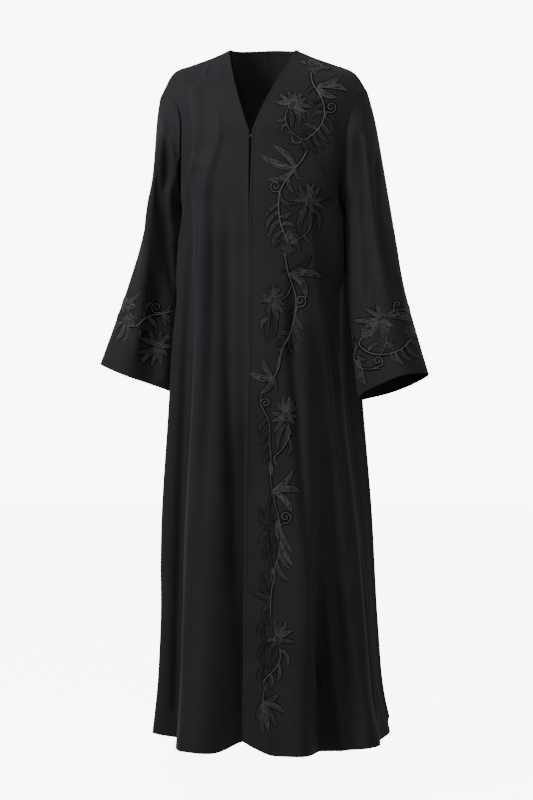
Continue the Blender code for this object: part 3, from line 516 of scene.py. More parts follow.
VINE_LEAVES = (
    Leaf(306.5, 64, 298.5, 61, 3.5, 0.2, 0.8),
    Leaf(323.0, 66, 331.0, 68, 3.5, 0.2, 0.7),
    Leaf(317.4, 85.6, 342.8, 75.0, 7.5, 0.16, 0.75),
    Leaf(317.4, 86.2, 348.0, 89.6, 7.5, -0.14, 1.0),
    Leaf(317.6, 87.0, 337.2, 98.6, 7.0, 0.18, 0.9),
    Leaf(314.4, 87.0, 306.4, 93.6, 3.4, 0.2, 0.5),
    Leaf(319.4, 95.0, 312.8, 103.0, 3.6, -0.2, 0.5),
    Leaf(323.6, 104.0, 313.4, 111.0, 5.0, 0.15, 0.4),
    Leaf(323.6, 112.0, 311.0, 117.4, 7.0, 0.2, 0.45),
    Leaf(317.4, 130.2, 303.8, 123.6, 5.2, 0.18, 0.7),
    Leaf(311.8, 135.4, 302.0, 131.4, 4.0, 0.15, 0.35),
    Leaf(324.0, 118.0, 332.2, 124.0, 3.6, -0.2, 0.4),
    Leaf(322.4, 122.2, 333.0, 135.4, 4.6, 0.2, 0.5),
    Leaf(318.8, 128.2, 329.6, 143.8, 4.8, 0.2, 0.45),
    Leaf(313.6, 133.8, 323.8, 149.6, 4.8, 0.18, 0.45),
    Leaf(308.6, 138.0, 317.2, 153.6, 4.4, 0.16, 0.35),
    Leaf(290.6, 111.0, 291.6, 128.0, 5.2, -0.12, 0.55),
    Leaf(294.6, 111.0, 299.8, 127.2, 5.2, -0.22, 0.5),
    Leaf(298.0, 110.6, 305.4, 120.4, 4.2, -0.16, 0.35),
    Leaf(285.8, 116.0, 276.6, 121.0, 3.8, -0.34, 0.7),
    Leaf(286.8, 124.0, 281.6, 132.2, 3.4, 0.34, 0.75),
    Leaf(292.0, 139.0, 288.6, 131.0, 3.4, 0.2, 0.5),
    Leaf(295.0, 142.0, 287.6, 141.0, 3.0, -0.2, 0.45),
    Leaf(295.6, 167.6, 273.8, 144.2, 7.8, 0.12, 1.0),
    Leaf(295.2, 168.2, 260.2, 155.6, 8.2, -0.10, 1.0),
    Leaf(294.8, 168.8, 269.0, 181.0, 7.4, -0.20, 0.9),
    Leaf(296.0, 169.2, 299.4, 180.0, 4.0, 0.2, 0.7),
    Leaf(288.4, 178.0, 292.4, 192.6, 4.6, 0.15, 0.75),
    Leaf(279.4, 203.0, 265.2, 216.6, 5.2, 0.14, 0.75),
    Leaf(279.2, 211.0, 265.8, 227.4, 5.4, 0.16, 0.7),
    Leaf(280.4, 220.0, 267.4, 237.6, 5.2, 0.16, 0.7),
    Leaf(283.6, 230.0, 271.6, 245.6, 5.0, 0.18, 0.7),
    Leaf(280.0, 216.4, 291.0, 212.8, 4.8, 0.2, 0.85),
    Leaf(281.6, 225.0, 293.6, 225.0, 5.0, -0.22, 0.9),
    Leaf(279.0, 199.0, 290.4, 208.6, 4.0, -0.1, 0.5),
    Leaf(306.8, 208.6, 298.0, 233.4, 7.2, 0.16, 0.5),
    Leaf(310.4, 209.4, 309.2, 230.0, 6.2, -0.10, 0.3),
    Leaf(313.6, 209.6, 319.8, 229.0, 4.6, -0.30, 0.5),
    Leaf(305.0, 234.4, 309.4, 243.0, 3.8, 0.2, 0.6),
    Leaf(298.4, 240.0, 300.2, 251.6, 4.0, 0.2, 0.4),
    Leaf(281.4, 240.0, 274.8, 246.4, 3.6, 0.2, 0.4),
    Leaf(288.8, 273.6, 311.6, 256.6, 6.8, 0.16, 0.35),
    Leaf(289.2, 274.2, 323.4, 276.2, 8.4, -0.14, 1.0),
    Leaf(289.6, 275.0, 308.0, 296.4, 8.4, -0.26, 0.9),
    Leaf(286.4, 264.0, 281.6, 272.0, 3.2, -0.2, 0.3),
    Leaf(296.0, 299.0, 288.0, 318.0, 6.0, -0.2, 0.25),
    Leaf(295.4, 311.0, 287.6, 330.0, 5.4, -0.18, 0.3),
    Leaf(295.0, 315.0, 305.6, 331.4, 4.8, 0.16, 0.55),
    Leaf(293.8, 322.0, 302.8, 342.0, 4.8, 0.16, 0.55),
    Leaf(291.8, 329.6, 299.8, 352.0, 4.8, 0.14, 0.45),
    Leaf(289.2, 336.4, 295.4, 359.8, 4.6, 0.12, 0.35),
    Leaf(291.0, 331.6, 280.4, 332.6, 6.0, -0.15, 0.6),
    Leaf(287.0, 341.0, 276.0, 346.0, 4.6, 0.15, 0.35),
    Leaf(270.4, 309.4, 267.2, 341.0, 5.4, 0.08, 0.4),
    Leaf(273.6, 309.4, 274.8, 338.0, 5.0, -0.08, 0.3),
    Leaf(268.4, 318.0, 260.4, 328.0, 5.0, 0.30, 0.8),
    Leaf(279.8, 357.0, 277.0, 371.0, 4.0, 0.1, 0.6),
    Leaf(273.4, 378.0, 261.6, 358.2, 7.2, -0.14, 0.75),
    Leaf(273.0, 378.4, 250.6, 374.6, 8.2, -0.12, 1.0),
    Leaf(272.4, 379.0, 259.8, 394.0, 5.4, -0.26, 0.7),
    Leaf(275.0, 377.0, 276.6, 390.6, 4.2, 0.12, 0.55),
    Leaf(268.0, 418.0, 258.0, 434.0, 4.8, 0.16, 0.4),
    Leaf(269.8, 430.0, 261.0, 445.4, 4.8, 0.16, 0.35),
    Leaf(269.8, 441.0, 262.8, 454.6, 4.6, 0.16, 0.35),
    Leaf(270.8, 452.0, 264.0, 463.6, 4.2, 0.16, 0.35),
    Leaf(285.6, 424.6, 277.0, 449.0, 5.0, 0.20, 0.7),
    Leaf(288.0, 425.0, 283.6, 447.0, 5.0, -0.10, 0.8),
    Leaf(290.0, 430.4, 295.6, 435.0, 3.2, 0.3, 0.5),
    Leaf(288.6, 438.0, 288.6, 456.0, 4.0, -0.24, 0.55),
    Leaf(271.4, 475.0, 270.4, 462.0, 5.2, 0.0, 1.0),
    Leaf(274.6, 457.0, 277.8, 467.4, 3.8, 0.15, 0.7),
    Leaf(272.4, 490.6, 294.0, 470.6, 7.2, 0.16, 0.95),
    Leaf(272.8, 491.2, 300.6, 490.0, 8.6, -0.12, 1.0),
    Leaf(272.8, 492.0, 292.8, 511.2, 7.4, -0.18, 0.95),
    Leaf(278.8, 519.0, 277.8, 539.4, 6.0, 0.1, 0.9),
    Leaf(280.6, 528.0, 291.0, 551.4, 5.2, 0.10, 0.85),
    Leaf(280.4, 540.0, 291.2, 564.8, 6.0, 0.10, 1.0),
    Leaf(279.0, 551.0, 288.6, 569.0, 4.8, 0.14, 0.75),
    Leaf(276.6, 560.0, 287.6, 581.2, 5.0, 0.20, 0.8),
    Leaf(271.0, 536.0, 274.6, 553.0, 5.0, -0.1, 0.25),
    Leaf(268.4, 544.0, 263.8, 560.0, 4.4, 0.15, 0.25),
    Leaf(266.4, 532.0, 260.0, 543.6, 4.0, 0.15, 0.7),
    Leaf(272.8, 568.0, 273.4, 585.0, 6.0, 0.0, 0.95),
    Leaf(269.8, 597.8, 260.8, 574.0, 5.4, -0.12, 0.3),
    Leaf(269.4, 598.2, 251.8, 590.6, 6.0, -0.12, 0.55),
    Leaf(269.0, 598.8, 261.2, 614.6, 5.2, -0.18, 0.45),
    Leaf(264.6, 612.0, 268.4, 626.0, 4.4, 0.2, 0.25),
    Leaf(263.2, 622.0, 258.8, 636.4, 4.4, 0.2, 0.25),
    Leaf(263.6, 634.0, 267.4, 646.0, 4.4, 0.2, 0.2),
    Leaf(263.4, 646.0, 258.8, 658.6, 4.4, 0.2, 0.25),
    Leaf(262.8, 656.0, 267.6, 668.0, 4.6, 0.2, 0.2),
    Leaf(262.6, 668.0, 258.6, 680.6, 4.2, 0.2, 0.25),
    Leaf(277.2, 648.0, 274.4, 674.0, 7.4, 0.08, 0.3),
    Leaf(280.6, 650.0, 288.8, 665.8, 4.0, -0.32, 0.8),
    Leaf(278.4, 664.0, 278.6, 680.4, 4.8, -0.16, 0.75),
    Leaf(270.4, 674.0, 270.8, 688.4, 5.0, -0.16, 0.7),
    Leaf(264.2, 680.0, 266.8, 691.0, 5.4, 0.0, 0.5),
    Leaf(262.4, 702.4, 279.6, 694.4, 6.2, 0.14, 0.7),
    Leaf(262.6, 703.0, 285.0, 711.6, 6.4, -0.12, 0.8),
    Leaf(262.6, 703.6, 277.2, 727.0, 6.2, -0.08, 0.5),
    Leaf(262.4, 704.0, 268.8, 731.0, 6.0, -0.04, 0.9),
    Leaf(262.0, 704.0, 262.6, 733.4, 5.2, 0.06, 0.6),
    Leaf(261.6, 703.6, 257.6, 720.6, 5.0, 0.12, 0.35),
)

CUFF_STEMS = {
    "right": (
        Stem(1.3, 1.0, (
            (129, 326), (137.4, 325.4), (143.2, 320), (151.4, 315.2), (161.2, 314.2), (171, 311.6),
        )),
        Stem(0.9, 0.6, ((165, 318), (170, 323), (174, 325))),
        Stem(0.9, 0.5, ((137, 326), (141, 331), (147, 333))),
    ),
    "left": (
        Stem(1.3, 1.0, (
            (363.4, 336.6), (359, 343.4), (364.6, 350), (373, 353.8), (383, 354.6), (393, 352.8),
            (403, 347.8), (410.4, 339.6),
        )),
        Stem(1.0, 0.9, ((388, 313), (396, 310.2), (404, 309.6), (410, 313.6))),
        Stem(1.0, 0.8, ((381.6, 353.4), (385, 347), (386.8, 341), (387.4, 336))),
        Stem(1.0, 0.8, ((357.6, 347), (353.8, 354), (356, 362), (362, 368.4), (371.5, 369), (380, 368))),
        Stem(0.8, 0.5, ((386, 345), (391, 344), (395, 341))),
    ),
}
CUFF_CURLS = {
    "right": (Curl(156.4, 307.4, 5.4, 60, 1.5, 165.0, 313.6),),
    "left": (
        Curl(378.0, 360.8, 4.8, 60, -1.4, 371.6, 369.0),
        Curl(397.4, 304.6, 3.2, 160, 1.3, 393.4, 311.6),
    ),
}
CUFF_BLOSSOMS = {
    "right": (
        Blossom(126.4, 304.0, 8.4, 20, 1.0),
        Blossom(129.6, 320.0, 7.2, 50, 0.8),
    ),
    "left": (
        Blossom(365.8, 333.2, 5.0, 10, 1.0),
        Blossom(411.2, 331.6, 5.6, 30, 0.9),
    ),
}
CUFF_FLOWERS = {
    "right": (
        Flower(158.8, 347.0, 9.0, 7.0, 30, 0.95, (
            (139.8, 338.2), (149.6, 331.2), (160.4, 329.8), (168.6, 333.6), (171.6, 346.4), (169.4, 356.6),
            (161.4, 366.2), (151.6, 365.0), (142.2, 361.4), (136.4, 353.0),
        )),
    ),
    "left": (
        Flower(381.2, 318.2, 10.0, 6.0, -30, 1.0, (
            (353.8, 320.8), (365.4, 308.6), (376.6, 303.2), (364.2, 327.4), (370.2, 336.6), (382.2, 338.4),
            (389.8, 334.4), (394.2, 326.8),
        )),
    ),
}
CUFF_LEAVES = {
    "right": (
        Leaf(129.4, 299.4, 138.6, 294.0, 4.2, 0.2, 0.8),
        Leaf(120.0, 300.0, 117.6, 293.0, 4.2, 0.1, 0.7),
        Leaf(140.0, 318.0, 143.6, 284.4, 6.0, 0.06, 0.3),
        Leaf(144.4, 318.6, 154.0, 298.4, 5.4, -0.28, 0.55),
        Leaf(147.0, 317.4, 156.8, 327.4, 5.2, -0.14, 0.8),
        Leaf(160.4, 313.6, 171.2, 305.2, 4.6, 0.2, 0.6),
        Leaf(161.6, 315.4, 170.2, 320.6, 5.2, -0.2, 0.75),
        Leaf(164.6, 317.0, 166.0, 326.0, 4.2, 0.2, 0.6),
        Leaf(124.0, 322.0, 113.6, 330.0, 4.6, 0.2, 0.7),
        Leaf(124.6, 324.0, 116.2, 341.0, 4.6, -0.12, 0.8),
        Leaf(127.6, 326.0, 123.4, 342.0, 4.4, -0.24, 0.75),
        Leaf(121.0, 311.0, 114.8, 317.4, 4.0, 0.2, 0.6),
        Leaf(140.6, 330.6, 141.0, 338.4, 3.4, 0.2, 0.5),
        Leaf(166.0, 340.0, 172.0, 336.0, 4.0, 0.1, 0.5),
    ),
    "left": (
        Leaf(387.6, 315.4, 410.6, 319.2, 9.6, -0.16, 0.9),
        Leaf(404.0, 309.6, 411.6, 306.0, 4.0, 0.2, 0.6),
        Leaf(368.4, 350.4, 378.4, 342.8, 4.4, -0.2, 0.9),
        Leaf(358.6, 359.0, 364.6, 385.0, 8.6, 0.14, 0.8),
        Leaf(356.4, 360.0, 357.0, 378.0, 5.2, -0.14, 0.5),
        Leaf(357.8, 347.4, 351.6, 335.6, 4.6, -0.16, 0.5),
        Leaf(356.0, 351.0, 350.6, 345.4, 3.6, 0.16, 0.45),
        Leaf(357.4, 356.4, 366.6, 360.0, 5.4, 0.2, 0.6),
        Leaf(395.8, 352.4, 403.4, 364.8, 4.2, 0.16, 0.8),
        Leaf(401.4, 349.4, 411.4, 361.2, 4.4, 0.16, 0.75),
        Leaf(406.4, 345.6, 418.4, 358.0, 4.4, 0.16, 0.75),
        Leaf(391.4, 353.8, 396.0, 362.0, 3.8, 0.16, 0.6),
        Leaf(410.4, 338.6, 418.6, 346.0, 4.0, 0.16, 0.6),
        Leaf(386.6, 342.0, 393.6, 345.6, 3.8, 0.16, 0.6),
        Leaf(387.0, 347.4, 395.0, 349.4, 3.4, -0.2, 0.5),
    ),
}


def smoothstep(x):
    """0 below 0, 1 above 1, and a smooth rise between."""
    x = np.clip(x, 0.0, 1.0)
    return x * x * (3.0 - 2.0 * x)


def unit(vectors):
    """Vectors made one long."""
    return vectors / np.maximum(np.linalg.norm(vectors, axis=1), 1e-12)[:, None]


def through(rows, key, column, at):
    """A smooth curve through one column of a table, read at the given values of its key column."""
    xs = np.array([getattr(row, key) for row in rows], float)
    ys = np.array([getattr(row, column) for row in rows], float)
    if xs[0] > xs[-1]:
        xs, ys = xs[::-1], ys[::-1]
    slope = np.gradient(ys, xs)
    at = np.clip(at, xs[0], xs[-1])
    i = np.clip(np.searchsorted(xs, at, side="right") - 1, 0, len(xs) - 2)
    step = xs[i + 1] - xs[i]
    t = (at - xs[i]) / step
    return (
        (1 + 2 * t) * (1 - t) ** 2 * ys[i]
        + t * (1 - t) ** 2 * step * slope[i]
        + t * t * (3 - 2 * t) * ys[i + 1]
        + t * t * (t - 1) * step * slope[i + 1]
    )


def between_crests(angle, knots, heights):
    """The offset at an angle, eased from each crest or trough to the next, right round the ring."""
    knots = np.concatenate([knots[:, -1:] - 360.0, knots, knots[:, :1] + 360.0], axis=1)
    heights = np.concatenate([heights[:, -1:], heights, heights[:, :1]], axis=1)
    i = np.clip((knots <= angle[:, None]).sum(axis=1) - 1, 0, knots.shape[1] - 2)
    row = np.arange(len(angle))
    share = smoothstep((angle - knots[row, i]) / (knots[row, i + 1] - knots[row, i]))
    return heights[row, i] + (heights[row, i + 1] - heights[row, i]) * share


def body_folds(angle, z, column):
    """How far the body's folds move the cloth: hem_out along its normal, lean along its girth."""
    down = np.clip(z / HEM_Z, 0.0, 1.0)[:, None]
    top, hem, start, most, power = (
        np.array([getattr(fold, name) for fold in FOLDS], float)
        for name in ("top_angle", "hem_angle", "start_z", column, "power")
    )
    growth = np.clip((start - z[:, None]) / (start - HEM_Z), 0.0, 1.0)
    height = most * growth**power
    if column == "hem_out":
        arm = np.array([fold.arm_out for fold in FOLDS], float)
        height += arm * ARM_SWELL * growth**1.5 * (1 - growth) ** 3
    return between_crests(angle, top + (hem - top) * down, height)


def sleeve_point(side, angle, share):
    """Points of a sleeve's outer face. angle is in degrees and share runs from armhole to cuff."""
    rings, folds = SLEEVES[side], SLEEVE_FOLDS[side]
    read = {name: through(rings, "share", name, share) for name in SleeveRing._fields[2:]}
    turn = np.radians(angle)
    cos, sin = np.cos(turn), np.sin(turn)
    top, cuff, top_out, cuff_out = (
        np.array([getattr(fold, name) for fold in folds], float) for name in SleeveFold._fields[1:]
    )
    along = share[:, None]
    swell = smoothstep(share / SLEEVE_FOLD_LENGTH) * between_crests(
        angle % 360.0, top + (cuff - top) * along, top_out + (cuff_out - top_out) * along
    )
    half = np.stack(
        [(read["outer_x"] - read["inner_x"]) / 2, 0 * share, (read["outer_z"] - read["inner_z"]) / 2], 1
    )
    reach = np.linalg.norm(half, axis=1)
    depth = np.where(sin > 0, read["front"], read["back"])
    forward = np.where(sin > 0, 1.0, -1.0)
    # The pull of front_x is strongest high up the front and fades out under the arm
    pull = FRONT_PULL * (1 + cos) * read["front_x"]
    tip_x = np.where(sin > 0, pull, BACK_PULL_SHARE * pull)
    tip_z = np.where(sin > 0, read["front_z"], read["back_z"])
    taper = 1 + SLEEVE_TAPER * cos * smoothstep(share / SLEEVE_TAPER_LENGTH)
    edge = np.stack([tip_x, -forward * depth * taper, tip_z], 1)
    centre = np.stack(
        [
            (read["outer_x"] + read["inner_x"]) / 2,
            read["mid_y"],
            (read["outer_z"] + read["inner_z"]) / 2,
        ],
        1,
    )
    grow_half = 1 + swell / reach
    grow_edge = 1 + swell / depth
    point = centre + half * (cos * grow_half)[:, None] + edge * (np.abs(sin) * grow_edge)[:, None]
    point[:, 0] *= 1 if side == "left" else -1
    return point


def unmirrored(side, points):
    """Points with +X to the wearer's outer side, on either side."""
    return points * np.array([1.0 if side == "left" else -1.0, 1.0, 1.0])


def armhole_edge(side, face, share):
    """The armhole from the shoulder at 0 to the underarm at 1, with +X outwards."""
    turn = 180.0 if face == "front" else -180.0
    return unmirrored(side, sleeve_point(side, turn * share, 0 * share))


def centre_edge(side, face, yoke):
    """The front's neckline and opening, or the back's centre seam, down to the underarm's level."""
    base_z = BODY[0].z
    if face == "back":
        z = NECK_BACK_Z + (base_z - NECK_BACK_Z) * yoke
        turn = np.clip(yoke * BACK_CURVE_RATE, 0, 1) * math.pi / 2
        y = NECK_BACK_Y + (BODY[0].back - NECK_BACK_Y) * np.sin(turn)
        return np.stack([0 * yoke, y, z], 1)
    neck = np.clip(yoke / NECK_SHARE, 0.0, 1.0)
    below = np.clip((yoke - NECK_SHARE) / (1 - NECK_SHARE), 0.0, 1.0)
    x = NECK_HALF_WIDTH * (1 - neck)
    y = V_BOTTOM_Y * (1 - (1 - neck) ** V_CURVE) + (BODY[0].front - V_BOTTOM_Y) * smoothstep(below)
    top_z = shoulder_edge(side, 0 * yoke)[:, 2]
    z = top_z + (V_BOTTOM_Z - top_z) * neck + (base_z - V_BOTTOM_Z) * below
    return np.stack([x, y, z], 1)


def shoulder_edge(side, share):
    """The shoulder seam from the neck at 0 to the sleeve at 1, with +X outwards."""
    top = SLEEVES[side][0]
    rows = SHOULDER + (ShoulderPoint(1.0, top.outer_x, top.mid_y, top.outer_z, top.outer_z),)
    return np.stack([through(rows, "share", name, share) for name in ("x", "y", side + "_z")], 1)


def top_edge(side, face, u):
    """A panel's top edge: the shoulder seam, and on the back the neckline before it."""
    if face == "front":
        return shoulder_edge(side, u)
    neck_z = shoulder_edge(side, 0 * u)[:, 2]
    neck = np.clip(u / BACK_NECK_SHARE, 0.0, 1.0) * math.pi / 2
    curve = np.stack(
        [
            NECK_HALF_WIDTH * np.sin(neck),
            NECK_BACK_Y * np.cos(neck),
            neck_z + (NECK_BACK_Z - neck_z) * np.cos(neck) ** 2,
        ],
        1,
    )
    seam = shoulder_edge(side, np.clip((u - BACK_NECK_SHARE) / (1 - BACK_NECK_SHARE), 0.0, 1.0))
    return np.where((u < BACK_NECK_SHARE)[:, None], curve, seam)


def quarter_turn(u):
    """Sine and cosine of a quarter turn at u, squared off towards a body's wide, flat section."""
    turn = np.clip(u, -0.02, 1.02) * math.pi / 2
    sine, cosine = np.sin(turn), np.cos(turn)
    power = 2 / BODY_SQUARENESS
    radius = (np.abs(sine) ** BODY_SQUARENESS + np.abs(cosine) ** BODY_SQUARENESS) ** (-power / 2)
    return sine * radius, cosine * radius


def plain_yoke(side, face, u, yoke):
    """The yoke's level curves from the centre edge to the armhole, before the top edge is met."""
    inner, outer = centre_edge(side, face, yoke), armhole_edge(side, face, yoke)
    round_off = smoothstep((yoke - YOKE_ROUND_START) / (1 - YOKE_ROUND_START))
    sine, cosine = quarter_turn(u)
    across = u + (sine - u) * round_off
    arch = 1 - np.abs(u) ** YOKE_ARCH
    forward = arch + (cosine - arch) * round_off
    x = inner[:, 0] + (outer[:, 0] - inner[:, 0]) * across
    y = outer[:, 1] + (inner[:, 1] - outer[:, 1]) * forward
    z = inner[:, 2] + (outer[:, 2] - inner[:, 2]) * np.abs(u) ** YOKE_DROP
    return np.stack([x, y, z], 1)


def plain_panel(side, face, u, v):
    """A body panel before its folds, with +X outwards. u runs out and v runs down."""
    yoke = np.clip(v / YOKE_SHARE, 0.0, 1.0)
    skirt = np.clip((v - YOKE_SHARE) / (1 - YOKE_SHARE), 0.0, None)
    fade = (1 - np.clip(yoke / TOP_EDGE_REACH, 0.0, 1.0)) ** 2
    upper = plain_yoke(side, face, u, yoke)
    upper += (top_edge(side, face, u) - plain_yoke(side, face, u, 0 * yoke)) * fade[:, None]
    z = BODY[0].z + (HEM_Z - BODY[0].z) * skirt
    depth = through(BODY, "z", "front" if face == "front" else "back", z)
    underarm = armhole_edge(side, face, 1 + 0 * u)
    side_y = underarm[:, 1] * (1 - smoothstep(skirt * UNDERARM_DEPTH_FADE))
    wide = through(BODY, "z", side, z)
    level = through(BODY, "z", side, BODY[0].z + 0 * z)
    wide += (underarm[:, 0] - level) * (1 - smoothstep(skirt * UNDERARM_WIDTH_FADE))
    sine, cosine = quarter_turn(u)
    lower = np.stack([wide * sine, side_y + (depth - side_y) * cosine, z], 1)
    rise = (underarm[:, 2] - BODY[0].z) * np.abs(u) ** YOKE_DROP
    lower[:, 2] += rise * (1 - smoothstep(skirt * UNDERARM_HEIGHT_FADE))
    return np.where((v < YOKE_SHARE)[:, None], upper, lower)


def surface_normal(surface, u, v, step=0.004):
    """Unit normals of a surface of u and v, towards the cross product of its two directions."""
    across = surface(u + step, v) - surface(u - step, v)
    down = surface(u, v + step) - surface(u, v - step)
    return unit(np.cross(across, down))


def signed_angle(side, face, u):
    """Where a column of a panel lies round the body, in degrees."""
    angle = 90.0 * u if face == "front" else 180.0 - 90.0 * u
    return angle if side == "left" else -angle


def panel_point(side, face, u, v):
    """Points of a body panel's outer face, with its folds."""
    flat = plain_panel(side, face, u, v)
    normal = surface_normal(lambda a, b: plain_panel(side, face, a, b), u, np.clip(v, 0.004, 0.996))
    outward = -normal if face == "front" else normal
    angle = signed_angle(side, face, u)
    z = flat[:, 2]
    above_underarm = 1 - smoothstep((v - YOKE_SHARE) / UNDERARM_BLEND)
    off_sleeve = 1 - smoothstep((u - SLEEVE_SIDE_START) / SLEEVE_SIDE_WIDTH) * above_underarm
    swell = body_folds(angle, z, "hem_out") * off_sleeve
    lean = body_folds(angle, z, "lean") * (1 if side == "left" else -1)
    along = np.stack([-outward[:, 1], outward[:, 0], 0 * u], 1)
    lift = HEM_FRONT_LIFT * (1 - smoothstep(np.abs(angle) / HEM_FRONT_LIFT_ANGLE))
    point = flat + outward * swell[:, None] + along * lean[:, None]
    point[:, 2] += lift * smoothstep((z - HEM_LIFT_START * HEM_Z) / ((1 - HEM_LIFT_START) * HEM_Z))
    if side == "right":
        point[:, 0] *= -1
    return point


def armhole_frame(side, face, share):
    """Round the armhole seam, with +X outwards: the shared outward normal, and the way across it."""
    turn = share * math.pi
    forward = -1.0 if face == "front" else 1.0
    normal = unit(np.stack([0.12 + 0.25 * (1 + np.cos(turn)), forward * np.sin(turn), np.cos(turn)], 1))
    step = 0.01
    run = armhole_edge(side, face, share + step) - armhole_edge(side, face, share - step)
    return normal, unit(np.cross(run, normal) * forward)


def shoulder_normal(side, share):
    """The shared outward direction along the shoulder seam, with +X outwards."""
    step = 0.02
    run = shoulder_edge(side, share + step) - shoulder_edge(side, share - step)
    return unit(np.stack([-run[:, 2], 0 * share, run[:, 0]], 1))


def panel_normal(side, face, u, v):
    """Outward normals of a panel, eased into the shared ones of its shoulder and armhole seams."""
    inside = np.clip(v, 0.01, 0.99)
    normal = surface_normal(lambda a, b: panel_point(side, face, a, b), u, inside)
    flip = (face == "front") == (side == "left")
    normal = -normal if flip else normal
    yoke = np.clip(v / YOKE_SHARE, 0.0, 1.0)
    hole = unmirrored(side, armhole_frame(side, face, yoke)[0])
    by_hole = smoothstep((u - ARMHOLE_BLEND_START) / ARMHOLE_BLEND_WIDTH)
    by_hole = (by_hole * (v <= YOKE_SHARE + 1e-6))[:, None]
    share = u if face == "front" else (u - BACK_NECK_SHARE) / (1 - BACK_NECK_SHARE)
    top = unmirrored(side, shoulder_normal(side, np.clip(share, 0.0, 1.0)))
    by_top = ((1 - smoothstep(v / SHOULDER_BLEND)) * (share >= -1e-6))[:, None]
    normal = normal * (1 - by_top) + top * by_top
    return unit(normal * (1 - by_hole) + hole * by_hole)


def inset(surface, u, v, low_u, high_u, low_v):
    """u and v moved in from a panel's edges by lengths in metres."""
    step = 0.01
    wide = np.linalg.norm(surface(u + step, v) - surface(u - step, v), axis=1) / (2 * step)
    tall = np.linalg.norm(surface(u, v + step) - surface(u, v - step), axis=1) / (2 * step)
    wide, tall = np.maximum(wide, 0.02), np.maximum(tall, 0.02)
    return u + low_u / wide * (1 - u) ** 8 - high_u / wide * u**8, v + low_v / tall * (1 - v) ** 8


def front_gap(z):
    """The width of the gap between the fronts, widest under the V of the neckline."""
    closing = smoothstep((V_BOTTOM_Z - z) / FRONT_GAP_LENGTH)
    return FRONT_GAP_TOP + (FRONT_GAP_BELOW - FRONT_GAP_TOP) * closing


def edge_lines(index, count, low_length, high_length):
    """Shares of a grid's lines, with the first and last few at EDGE_STEPS from the edges.

    A length is the surface's stretch there in metres, or None where that end needs no close lines.
    """
    steps = np.array(EDGE_STEPS)
    last = len(steps) - 1
    first = 0 if low_length is None else last
    final = 0 if high_length is None else last
    low_end = 0.0 if low_length is None else steps[-1] / low_length
    high_end = 0.0 if high_length is None else steps[-1] / high_length
    share = low_end + (1 - low_end - high_end) * (index - first) / (count - first - final)
    if low_length is not None:
        share = np.where(index < first, steps[np.clip(index, 0, last)] / low_length, share)
    if high_length is not None:
        back = count - index
        share = np.where(back < final, 1 - steps[np.clip(back, 0, last)] / high_length, share)
    return share


def photo_axes():
    """The camera's place, and its backward, right and up directions."""
    turn = math.radians(CAMERA_AZIMUTH)
    back = np.array([math.sin(turn), -math.cos(turn), 0.0])
    right = np.array([math.cos(turn), math.sin(turn), 0.0])
    up = np.array([0.0, 0.0, 1.0])
    place = back * CAMERA_DISTANCE + right * CAMERA_SHIFT + up * CAMERA_HEIGHT
    return place, back, right, up


class PhotoChart:
    """Lays points of the photograph's frame on a surface, along the camera's lines of sight.

    With mirror_y, the camera and its lines are mirrored in the plane at that y, so that what lies
    on the front comes on the back too.
    """

    def __init__(self, tree, mirror_y=None):
        self.tree = tree
        self.mirror_y = mirror_y

    def lay(self, points):
        place, back, right, up = photo_axes()
        across = (points[:, 0] - PHOTO_WIDTH / 2) / PIXELS_PER_METRE
        above = (PHOTO_HEIGHT / 2 - points[:, 1]) / PIXELS_PER_METRE
        ways = unit(across[:, None] * right + above[:, None] * up - CAMERA_DISTANCE * back)
        if self.mirror_y is not None:
            place = place * np.array([1.0, -1.0, 1.0]) + np.array([0.0, 2 * self.mirror_y, 0.0])
            ways = ways * np.array([1.0, -1.0, 1.0])
        start = Vector(place)
        reach = CAMERA_DISTANCE
        found = []
        for way in ways:
            hit, normal, _, distance = self.tree.ray_cast(start, Vector(way))
            if hit is None:
                hit, normal, _, _ = self.tree.find_nearest(start + Vector(way) * reach)
            else:
                reach = distance
            if normal.dot(Vector(way)) > 0:
                normal = -normal
            found.append((*hit, *normal))
        found = np.array(found)
        return found[:, :3], found[:, 3:]


def smooth_path(points, count):
    """A smooth curve through points, at an even spacing along it."""
    points = np.array(points, float)
    if len(points) < 3:
        share = np.linspace(0, 1, count)[:, None]
        return points[0] * (1 - share) + points[-1] * share
    ends = np.concatenate([2 * points[:1] - points[1:2], points, 2 * points[-1:] - points[-2:-1]])
    t = np.linspace(0, 1, 12, endpoint=False)[:, None]
    fine = []
    for a, b, c, d in zip(ends, ends[1:], ends[2:], ends[3:]):
        fine.append(
            0.5 * (2 * b + (c - a) * t + (2 * a - 5 * b + 4 * c - d) * t**2 + (3 * b - a - 3 * c + d) * t**3)
        )
    fine = np.concatenate(fine + [points[-1:]])
    run = np.concatenate([[0.0], np.cumsum(np.linalg.norm(np.diff(fine, axis=0), axis=1))])
    at = np.linspace(0, run[-1], count)
    return np.stack([np.interp(at, run, fine[:, k]) for k in range(points.shape[1])], 1)


